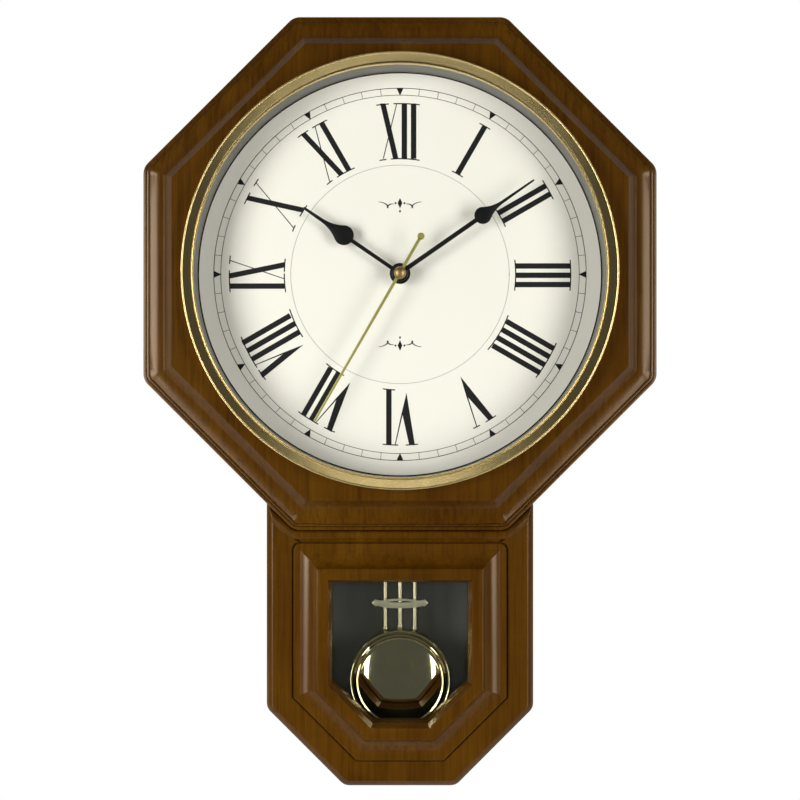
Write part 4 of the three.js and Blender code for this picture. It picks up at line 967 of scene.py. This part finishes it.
# Parts of each numeral, across in mm: upright bars; V as (thick top, apex, hair top);
# X as (thick top, thick foot, hair top, hair foot).
NUMERALS = {
    1: {"bars": (-0.3,)},
    2: {"bars": (-2.5, 3.5)},
    3: {"bars": (-5.4, 0.6, 6.6)},
    4: {"bars": (-8.1, -2.1, 3.9, 9.9)},
    5: {"vee": (-4.2, -0.8, 6.3)},
    6: {"vee": (-7.8, -4.2, 3.2), "bars": (7.2,)},
    7: {"vee": (-10.8, -7.1, -0.7), "bars": (2.6, 8.6)},
    8: {"vee": (-11.8, -8.2, -3.9), "bars": (0.3, 6.4, 12.4)},
    9: {"bars": (-7.6,), "cross": (-1.1, 6.2, 9.2, -2.9)},
    10: {"cross": (-6.6, 4.7, 4.8, -8.3)},
    11: {"cross": (-8.8, -0.5, 0.3, -9.4), "bars": (5.0,)},
    12: {"cross": (-11.1, -2.7, -2.1, -10.8), "bars": (2.8, 8.8)},
}


def slant(foot_x, top_x, half, foot=None, top=None):
    low = (NUMERAL_FOOT + SERIF_THICK * 0.4) if foot is None else foot
    high = (NUMERAL_TOP - SERIF_THICK * 0.4) if top is None else top
    return [(foot_x - half, low), (foot_x + half, low), (top_x + half, high), (top_x - half, high)]


def serif(x0, x1, at_top):
    """A slim serif that curves with the dial."""
    outer = NUMERAL_TOP if at_top else NUMERAL_FOOT + SERIF_THICK
    inner = outer - SERIF_THICK
    steps = 6
    low = []
    high = []
    for k in range(steps + 1):
        x = x0 + (x1 - x0) * k / steps
        angle = x / outer
        low.append((inner * math.sin(angle), inner * math.cos(angle)))
        high.append((outer * math.sin(angle), outer * math.cos(angle)))
    return low + high[::-1]


def vee_parts(vee, bars):
    thick, apex, hair = vee
    foot = NUMERAL_FOOT + 2.2
    top = NUMERAL_TOP - SERIF_THICK * 0.4
    half = 1.85
    join_y = foot + 13
    share = (join_y - foot) / (top - foot)
    hair_x = apex + (hair - apex) * share
    parts = [
        [(apex, foot), (hair_x, join_y), (thick + half, top), (thick - half, top)],
        [(apex, foot), (hair_x + HAIR_HALF, join_y), (hair + HAIR_HALF, top), (hair - HAIR_HALF, top),
         (hair_x - HAIR_HALF * 2, join_y)],
        serif(thick - half - 2.1, thick + half + 2.1, True),
    ]
    if not bars:
        parts.append(serif(hair - 2.3, hair + 2.5, True))
    return parts


def cross_parts(cross, bars):
    """An X; a bar beside it shares the serif of whichever stroke ends next to it."""
    thick_top, thick_foot, hair_top, hair_foot = cross
    parts = [slant(thick_foot, thick_top, BAR_HALF), slant(hair_foot, hair_top, HAIR_HALF)]
    bars_right = bool(bars) and bars[0] > 0
    bars_left = bool(bars) and not bars_right
    if not bars_left:
        parts.append(serif(thick_top - 4.3, thick_top + 3.9, True))
        parts.append(serif(hair_foot - 2.6, hair_foot + 1.9, False))
    if not bars_right:
        parts.append(serif(hair_top - 2.4, hair_top + 2.9, True))
        parts.append(serif(thick_foot - 4.6, thick_foot + 3.9, False))
    return parts


def bar_serifs(bars, cross, vee):
    top0 = foot0 = bars[0] - BAR_HALF - OVERHANG
    top1 = foot1 = bars[-1] + BAR_HALF + OVERHANG
    if vee:
        top0 = vee[2] - 2.1
    if cross and bars[0] > 0:
        top0 = cross[2] - 2.1
        foot0 = cross[1] - BAR_HALF - 1.6
    if cross and bars[0] < 0:
        top1 = cross[0] + BAR_HALF + 2.0
        foot1 = cross[3] + 3.4
    return [serif(top0, top1, True), serif(foot0, foot1, False)]


def numeral_parts(numeral):
    bars = numeral.get("bars", ())
    vee = numeral.get("vee")
    cross = numeral.get("cross")
    parts = [slant(x, x, BAR_HALF) for x in bars]
    if vee:
        parts += vee_parts(vee, bars)
    if cross:
        parts += cross_parts(cross, bars)
    if bars:
        parts += bar_serifs(bars, cross, vee)
    return parts


def turned_flat(polygon, clockwise_degrees):
    angle = -math.radians(clockwise_degrees)
    cosine, sine = math.cos(angle), math.sin(angle)
    return [(x * cosine - y * sine, x * sine + y * cosine) for x, y in polygon]


def flat_ring(radius, width, sides=240):
    """A thin flat circle as short quads, for the printed rings and for the painted shadow at the dial's
    edge.
    """
    quads = []
    for k in range(sides):
        corners = []
        for step, reach in ((k, -0.5), (k + 1, -0.5), (k + 1, 0.5), (k, 0.5)):
            angle = 2 * math.pi * step / sides
            at = radius + width * reach
            corners.append((at * math.cos(angle), at * math.sin(angle)))
        quads.append(corners)
    return quads


TRACK_OUTER = 120.3
TRACK_INNER = 115.8
CIRCLE_R = 70.6
ORNAMENT_Y = 46


def track_parts():
    """Two circles joined by a line at every minute and a triangle at every hour."""
    parts = flat_ring(TRACK_OUTER, 0.42) + flat_ring(TRACK_INNER, 0.36)
    for minute in range(60):
        if minute % 5:
            tick = [(-0.15, TRACK_INNER), (0.15, TRACK_INNER), (0.15, TRACK_OUTER), (-0.15, TRACK_OUTER)]
        else:
            tick = [(0, TRACK_INNER - 0.4), (2.35, TRACK_OUTER + 0.2), (-2.35, TRACK_OUTER + 0.2)]
        parts.append(turned_flat(tick, minute * 6))
    return parts


def scroll(side, up, centre_y):
    """A tapering curl of an ornament, as a strip of quads."""
    steps = 26
    rail = []
    for k in range(steps + 1):
        t = k / steps
        angle = math.pi * (0.5 + 2.1 * t)
        reach = 3.6 * (1 - 0.62 * t)
        x = 4.4 + 9.5 * (1 - t) ** 1.5 + reach * math.cos(angle) * 0.8
        y = reach * math.sin(angle) * 0.62 - 1.4
        width = 0.16 + 0.3 * math.sin(math.pi * t)
        rail.append((x, y, width))
    quads = []
    for (x0, y0, w0), (x1, y1, w1) in zip(rail, rail[1:]):
        along = Vector((x1 - x0, y1 - y0)).normalized()
        across = Vector((-along.y, along.x))
        quad = [
            (x0 - across.x * w0, y0 - across.y * w0), (x1 - across.x * w1, y1 - across.y * w1),
            (x1 + across.x * w1, y1 + across.y * w1), (x0 + across.x * w0, y0 + across.y * w0),
        ]
        quads.append([(side * x, centre_y + up * y) for x, y in quad])
    return quads


def lozenge(x, y, half_width, half_height):
    return [(x - half_width, y), (x, y - half_height), (x + half_width, y), (x, y + half_height)]


def ornament_parts(centre_y, up):
    parts = [lozenge(0, centre_y, 1.5, 3.4), lozenge(0, centre_y - up * 5.2, 0.7, 1.0)]
    for side in (-1, 1):
        parts += scroll(side, up, centre_y)
        parts.append(lozenge(side * 2.9, centre_y, 0.8, 0.8))
    return parts


def build_dial_marks():
    top = DIAL_Z + PRINT_THICK
    numerals = []
    for hour, numeral in NUMERALS.items():
        numerals += [turned_flat(part, hour * 30) for part in numeral_parts(numeral)]
    dial_marks = (
        ("dial_numerals", numerals, INK_AND_SHADE),
        ("dial_minute_track", track_parts(), INK_AND_SHADE),
        # Painted shadow: a black ring at the foot of the dial's wall, standing for the shade in the gap
        # between wall and dial.
        ("dial_edge_painted_shadow", flat_ring(WALL_R - 0.45, 0.8), INK_AND_SHADE),
        ("dial_inner_circle", flat_ring(CIRCLE_R, 0.34), GREY_INK),
        ("dial_ornaments", ornament_parts(ORNAMENT_Y, 1) + ornament_parts(-ORNAMENT_Y, -1), INK_AND_SHADE),
    )
    for name, parts, mark_material in dial_marks:
        piece(name, flat_slab(parts, DIAL_Z, top), mark_material, "case", "black_paint")


# ------------------------------------------------------------------ hands
def spade_half(stem_half, blob_y, blob_r, neck_y, neck_half, tip_y, tip_half):
    """Right edge of a spade hand that points up: stem, round lobe, hollow shoulder, slim tip."""
    leave = math.asin(stem_half / blob_r)
    edge = [(stem_half, 0), (stem_half, blob_y - blob_r * math.cos(leave) - 0.6)]
    steps = 14
    last = math.radians(34)
    for k in range(steps + 1):
        angle = -math.pi / 2 + leave + (last + math.pi / 2 - leave) * k / steps
        edge.append((blob_r * math.cos(angle), blob_y + blob_r * math.sin(angle)))
    x0, y0 = edge[-1]
    slope = Vector((-math.sin(last), math.cos(last)))
    control = (x0 + slope.x * blob_r * 1.25, y0 + slope.y * blob_r * 1.25)
    for k in range(1, 11):
        t = k / 10
        x = x0 * (1 - t) ** 2 + control[0] * 2 * t * (1 - t) + neck_half * t ** 2
        y = y0 * (1 - t) ** 2 + control[1] * 2 * t * (1 - t) + neck_y * t ** 2
        edge.append((x, y))
    edge += [(tip_half, tip_y - tip_half), (tip_half * 0.7, tip_y - tip_half * 0.3), (0, tip_y)]
    return edge


def hand_blade(edge, z0, z1, degrees):
    left = [(-x, y) for x, y in reversed(edge[:-1])]
    outline = turned_flat(edge + left, degrees)
    return skin([lifted(outline, z0), lifted(outline, z1)])


def joined(*shapes):
    verts = []
    faces = []
    for points, polygons in shapes:
        start = len(verts)
        verts += points
        faces += [tuple(i + start for i in polygon) for polygon in polygons]
    return verts, faces


def hub_ring(outer, bore, z0, z1):
    soft = 0.3
    profile = [
        (outer - soft, z0), (outer, z0 + soft), (outer, z1 - soft), (outer - soft, z1), (bore, z1),
        (bore, z0),
    ]
    return turned(profile, 64, ring=True)


# Back and front of each blade, z in mm.
HOUR_BLADE = (67.4, 68.2)
MINUTE_BLADE = (70.4, 71.2)
SECOND_BLADE = (73.6, 74.2)
SECOND_HALF_EDGE = [(1, -25.5), (1, 0), (0.72, 109.1), (0.4, 109.4), (0, 109.4)]
# Disc at the second hand's tail and the boss at its middle: (radius, z).
TAIL_PROFILE = [(2.1, 73.6), (2.3, 73.75), (2.3, 74.05), (2.1, 74.2)]
TAIL_Y = -26.8
BOSS_PROFILE = [
    (0.02, 77.2), (1.0, 77.12), (1.9, 76.85), (2.7, 76.45), (3.35, 75.85), (3.8, 75.1), (4, 74.4),
    (4, 73.15), (3.85, 73), (0.6, 73),
]


def build_hands():
    hour = spade_half(1.25, 43.6, 6.4, 63.5, 1.15, 75.1, 0.85)
    shape = joined(hand_blade(hour, *HOUR_BLADE, HOUR_ANGLE), hub_ring(6.7, 2.45, 66.4, 69))
    piece("hour_pointer", shape, ENAMEL, "hour_set", "black_paint", "hour_hand", bevel=0.16)
    minute = spade_half(1.45, 64.6, 5.5, 82, 0.95, 104.6, 0.62)
    shape = joined(hand_blade(minute, *MINUTE_BLADE, MINUTE_ANGLE), hub_ring(5.2, 1.3, 69.9, 72))
    piece("minute_pointer", shape, ENAMEL, "minute_set", "black_paint", "minute_hand", bevel=0.16)
    tail_x, tail_y = turned_flat([(0, TAIL_Y)], SECOND_ANGLE)[0]
    tail = turned(TAIL_PROFILE, 40, tail_x, tail_y)
    shape = joined(hand_blade(SECOND_HALF_EDGE, *SECOND_BLADE, SECOND_ANGLE), tail)
    piece("second_pointer", shape, GILT, "seconds_set", "brass", "second_hand", bevel=0.1)
    piece("second_boss", turned(BOSS_PROFILE, 64), BOSS_BRASS, "seconds_set", "brass")


# ------------------------------------------------------------------ pendulum
def dome_levels():
    """The spherical dome from its middle out to the stepped rim."""
    levels = []
    steps = 20
    for k in range(steps + 1):
        radius = max(DOME_R * k / steps, 0.02)
        drop = DOME_CURVE - math.sqrt(DOME_CURVE ** 2 - radius ** 2)
        levels.append((radius, BOB_FRONT_Z - drop))
    return levels


RIM_PROFILE = [
    (27.9, 41.55), (28.15, 41.75), (28.45, 42.3), (28.75, 42.5), (29.1, 42.35), (29.4, 41.95), (30.2, 41.72),
    (31.0, 41.35), (31.4, 40.9), (31.6, 40.15), (31.9, 39.95), (32.2, 40.1), (32.45, 40.45), (32.9, 40.6),
    (33.4, 40.35), (33.75, 39.85), (BOB_R, 39.2), (BOB_R, 35.3), (33.6, 35.0), (0.02, 35.0),
]


def arrow_edge():
    """Right half of the cross plate's edge, from the middle of its foot to the middle of its top."""
    return [
        (0, -3.5), (0.3, -3.35), (0.59, -2.95), (0.72, -2.2), (0.8, -1.95), (0.88, -2.3), (0.94, -1.1),
        (1, 0), (0.94, 1.2), (0.88, 2.4), (0.78, 1.85), (0.67, 1.65), (0.57, 1.95), (0.48, 2.35),
        (0.25, 2.8), (0, 3),
    ]


def lens_edge():
    return [(0, 0.35), (0.16, 0.38), (0.32, 0.5), (0.43, 0.75), (0.32, 1.05), (0.16, 1.3), (0, 1.4)]


def across_plate(edge):
    right = [(share * CROSS_HALF, CROSS_Y + height) for share, height in edge]
    left = [(-x, y) for x, y in reversed(right[1:-1])]
    return right + left


def rod_shape(x):
    """A slim rod that ends in a small ball just above the bob."""
    ball = BOB_Y + math.sqrt(BOB_R ** 2 - x ** 2) + FOOT_R * 1.05
    profile = [(0.02, ROD_TOP_Y), (ROD_R - 0.2, ROD_TOP_Y), (ROD_R, ROD_TOP_Y - 0.2)]
    profile += [(ROD_R, ball + FOOT_R + 0.5), (ROD_R, ball + FOOT_R * 0.85)]
    steps = 12
    first = math.asin(min(ROD_R / FOOT_R, 1))
    for k in range(1, steps + 1):
        angle = first + (math.pi - first) * k / steps
        profile.append((max(FOOT_R * math.sin(angle), 0.02), ball + FOOT_R * math.cos(angle)))
    return turned_upright(profile, 32, x, ROD_Z)


def build_pendulum():
    for name, x in (("rod_left", -ROD_SPACING), ("rod_middle", 0), ("rod_right", ROD_SPACING)):
        piece(name + "_bright", rod_shape(x), ROD_BRASS, "pendulum", "brass", name, sharp=45)
    shape = flat_slab([across_plate(arrow_edge())], 39.55, 40.95, [across_plate(lens_edge())])
    piece("cross_plate_bright", shape, SATIN_BRASS, "pendulum", "brass", "cross_plate", bevel=0.12)
    bob = turned(dome_levels() + RIM_PROFILE, 192, 0, BOB_Y)
    piece("bob_dome", bob, MIRROR_BRASS, "pendulum", "brass", "bob_shell", sharp=50)
    softened_copy("bob_back", SATIN_BRASS, "pendulum", "brass", 0.3)
    softened_copy("pendulum_top_bar", SATIN_BRASS, "pendulum", "brass", 0.3)
    softened_copy("pendulum_lever", BLACK_PLASTIC, "pendulum", "black_plastic", 0.25)
    softened_copy("drive_magnet", NICKEL, "pendulum", "magnet", 0.25)


# ------------------------------------------------------------------ back and movement
SCREWS = (
    "hanger_screw_left", "hanger_screw_right", "back_screw_1", "back_screw_2", "back_screw_3",
    "back_screw_4",
)
# Pieces whose edges are softened: (node, look, body, slot, width of the rounding in mm).
SOFTENED = [
    ("back_panel", HARDBOARD, "case", "fibreboard", 0.3),
    ("hanger_plate", ZINC, "case", "steel", 0.2),
    *[(screw, ZINC, "case", "steel", 0.15) for screw in SCREWS],
    ("wall_pad_left", RUBBER, "case", "rubber", 0.4),
    ("wall_pad_right", RUBBER, "case", "rubber", 0.4),
    ("movement_case", BLACK_PLASTIC, "case", "black_plastic", 0.35),
    ("movement_cover", BLACK_PLASTIC, "case", "black_plastic", 0.3),
    ("mounting_bush", SATIN_BRASS, "case", "brass", 0.15),
    ("mounting_nut", SATIN_BRASS, "case", "brass", 0.3),
    ("rubber_washer", RUBBER, "case", "rubber", 0.2),
    ("battery", SLEEVE, "case", "battery_shell", 0.5),
    ("contact_positive", ZINC, "case", "steel", 0.1),
    ("contact_negative", ZINC, "case", "steel", 0.1),
    ("circuit_board", CIRCUIT, "case", "circuit", 0.1),
    ("reset_button", WHITE_PLASTIC, "reset_key", "white_plastic", 0.3),
    ("set_button", WHITE_PLASTIC, "set_key", "white_plastic", 0.3),
]

# CAD pieces that stay as they are, under a better material.
KEPT = (
    (WINDING, ("antenna_coil", "minute_motor_coil", "seconds_motor_coil", "drive_coil")),
    (ZINC, ("minute_motor_stator", "seconds_motor_stator")),
    (WHITE_PLASTIC, (
        "minute_wheel", "minute_reduction_wheel", "minute_rotor", "motion_wheel", "hour_wheel",
        "seconds_wheel", "seconds_reduction_wheel", "seconds_rotor",
    )),
)


def build_back():
    for node, material, body, slot, width in SOFTENED:
        softened_copy(node, material, body, slot, width)
    for material, nodes in KEPT:
        for node in nodes:
            NODES[node].material_slots[0].material = material


# ------------------------------------------------------------------ light and camera
CAMERA_AT = (0, -0.938, -0.1992)
LENS = 61.0
FLOOR_Z = -0.62
FLOOR_HALF_WIDTH = 0.7
FLOOR_FRONT = -0.25
FLOOR_BACK = 0.45
FLOOR_THICK = 0.01
ROOM_LIGHT = 0.09
SWEEP_LIGHT = 0.9
BOX_X = 0.92
BOX_Y = -0.89
BOX_AIM_Y = -0.06
BOX_WIDTH = 0.46
# Upper and lower half of each softbox: (middle height, height).
UPPER_HALF = (-0.14, 0.66)
LOWER_HALF = (-0.755, 0.57)
FILL_WATTS = 8.5
FILL_CONE = math.radians(9.5)
FILL_AIM = (0, -0.03, -0.364)


def aimed(light, place_at, target):
    light.location = place_at
    direction = Vector(target) - Vector(place_at)
    light.rotation_euler = direction.to_track_quat("-Z", "Y").to_euler()


def softbox(name, x, middle, height, radiance):
    data = bpy.data.lights.new(name, "AREA")
    data.shape = "RECTANGLE"
    data.size = BOX_WIDTH
    data.size_y = height
    data.energy = radiance * math.pi * BOX_WIDTH * height
    aimed(added_object(name, data), (x, BOX_Y, middle), (0, BOX_AIM_Y, middle))


def build_lights():
    """A tall softbox on each side, in two halves that differ in brightness."""
    for name, x, upper, lower in (("left", -BOX_X, 13.2, 5), ("right", BOX_X, 9.2, 6)):
        softbox(name + "_softbox", x, *UPPER_HALF, upper)
        softbox(name + "_softbox_foot", x, *LOWER_HALF, lower)


def build_window_fill():
    """A faint narrow light from the front that lifts the pendulum's room, unseen in the brass."""
    data = bpy.data.lights.new("window_fill", "SPOT")
    data.energy = FILL_WATTS
    data.color = (1, 0.96, 0.84)
    data.spot_size = FILL_CONE
    data.spot_blend = 0.35
    data.shadow_soft_size = 0.06
    light = added_object("window_fill", data)
    light.visible_glossy = False
    aimed(light, CAMERA_AT, FILL_AIM)


def build_world():
    """A dim room in front, a white sweep behind, and plain white wherever the camera sees past."""
    world = bpy.data.worlds.new("room")
    world.use_nodes = True
    SCENE.world = world
    tree = world.node_tree
    tree.nodes.clear()
    link = tree.links.new
    split = added(tree, "SeparateXYZ")
    link(added(tree, "TexCoord").outputs["Generated"], split.inputs[0])
    behind = added(tree, "MapRange", From_Min=0.0, From_Max=0.25)
    link(split.outputs[1], behind.inputs["Value"])
    room = added(tree, "Background", Color=(0.95, 0.97, 1.0, 1), Strength=ROOM_LIGHT)
    sweep = added(tree, "Background", Color=(1, 1, 1, 1), Strength=SWEEP_LIGHT)
    seen = added(tree, "Background", Color=(1, 1, 1, 1), Strength=1.0)
    lit = added(tree, "MixShader")
    link(behind.outputs["Result"], lit.inputs["Fac"])
    link(room.outputs[0], lit.inputs[1])
    link(sweep.outputs[0], lit.inputs[2])
    final = added(tree, "MixShader")
    link(added(tree, "LightPath").outputs["Is Camera Ray"], final.inputs["Fac"])
    link(lit.outputs[0], final.inputs[1])
    link(seen.outputs[0], final.inputs[2])
    link(final.outputs[0], added(tree, "OutputWorld").inputs["Surface"])


def build_floor():
    """A plain pale floor below the clock, as a thin closed board."""
    x, front, back = FLOOR_HALF_WIDTH, FLOOR_FRONT, FLOOR_BACK
    top, under = FLOOR_Z, FLOOR_Z - FLOOR_THICK
    verts = [(-x, front, under), (x, front, under), (x, front, top), (-x, front, top)]
    verts += [(x, back, top), (-x, back, top), (x, back, under), (-x, back, under)]
    faces = [(0, 1, 2, 3), (3, 2, 4, 5), (5, 4, 6, 7), (7, 6, 1, 0), (1, 6, 4, 2), (0, 3, 5, 7)]
    mesh = bpy.data.meshes.new("floor")
    mesh.from_pydata(verts, [], faces)
    floor = added_object("floor", mesh)
    floor.data.materials.append(floor_look())


def build_camera():
    data = bpy.data.cameras.new("camera")
    data.lens = LENS
    data.sensor_width = 36
    camera = added_object("camera", data)
    camera.location = CAMERA_AT
    camera.rotation_euler = (math.pi / 2, 0, 0)
    SCENE.camera = camera


SCENE.view_settings.view_transform = "Standard"
build_camera()
build_world()
build_lights()
build_window_fill()
build_floor()
build_head()
build_board()
build_bead()
build_window()
build_face()
build_dial_marks()
build_hands()
build_pendulum()
build_back()
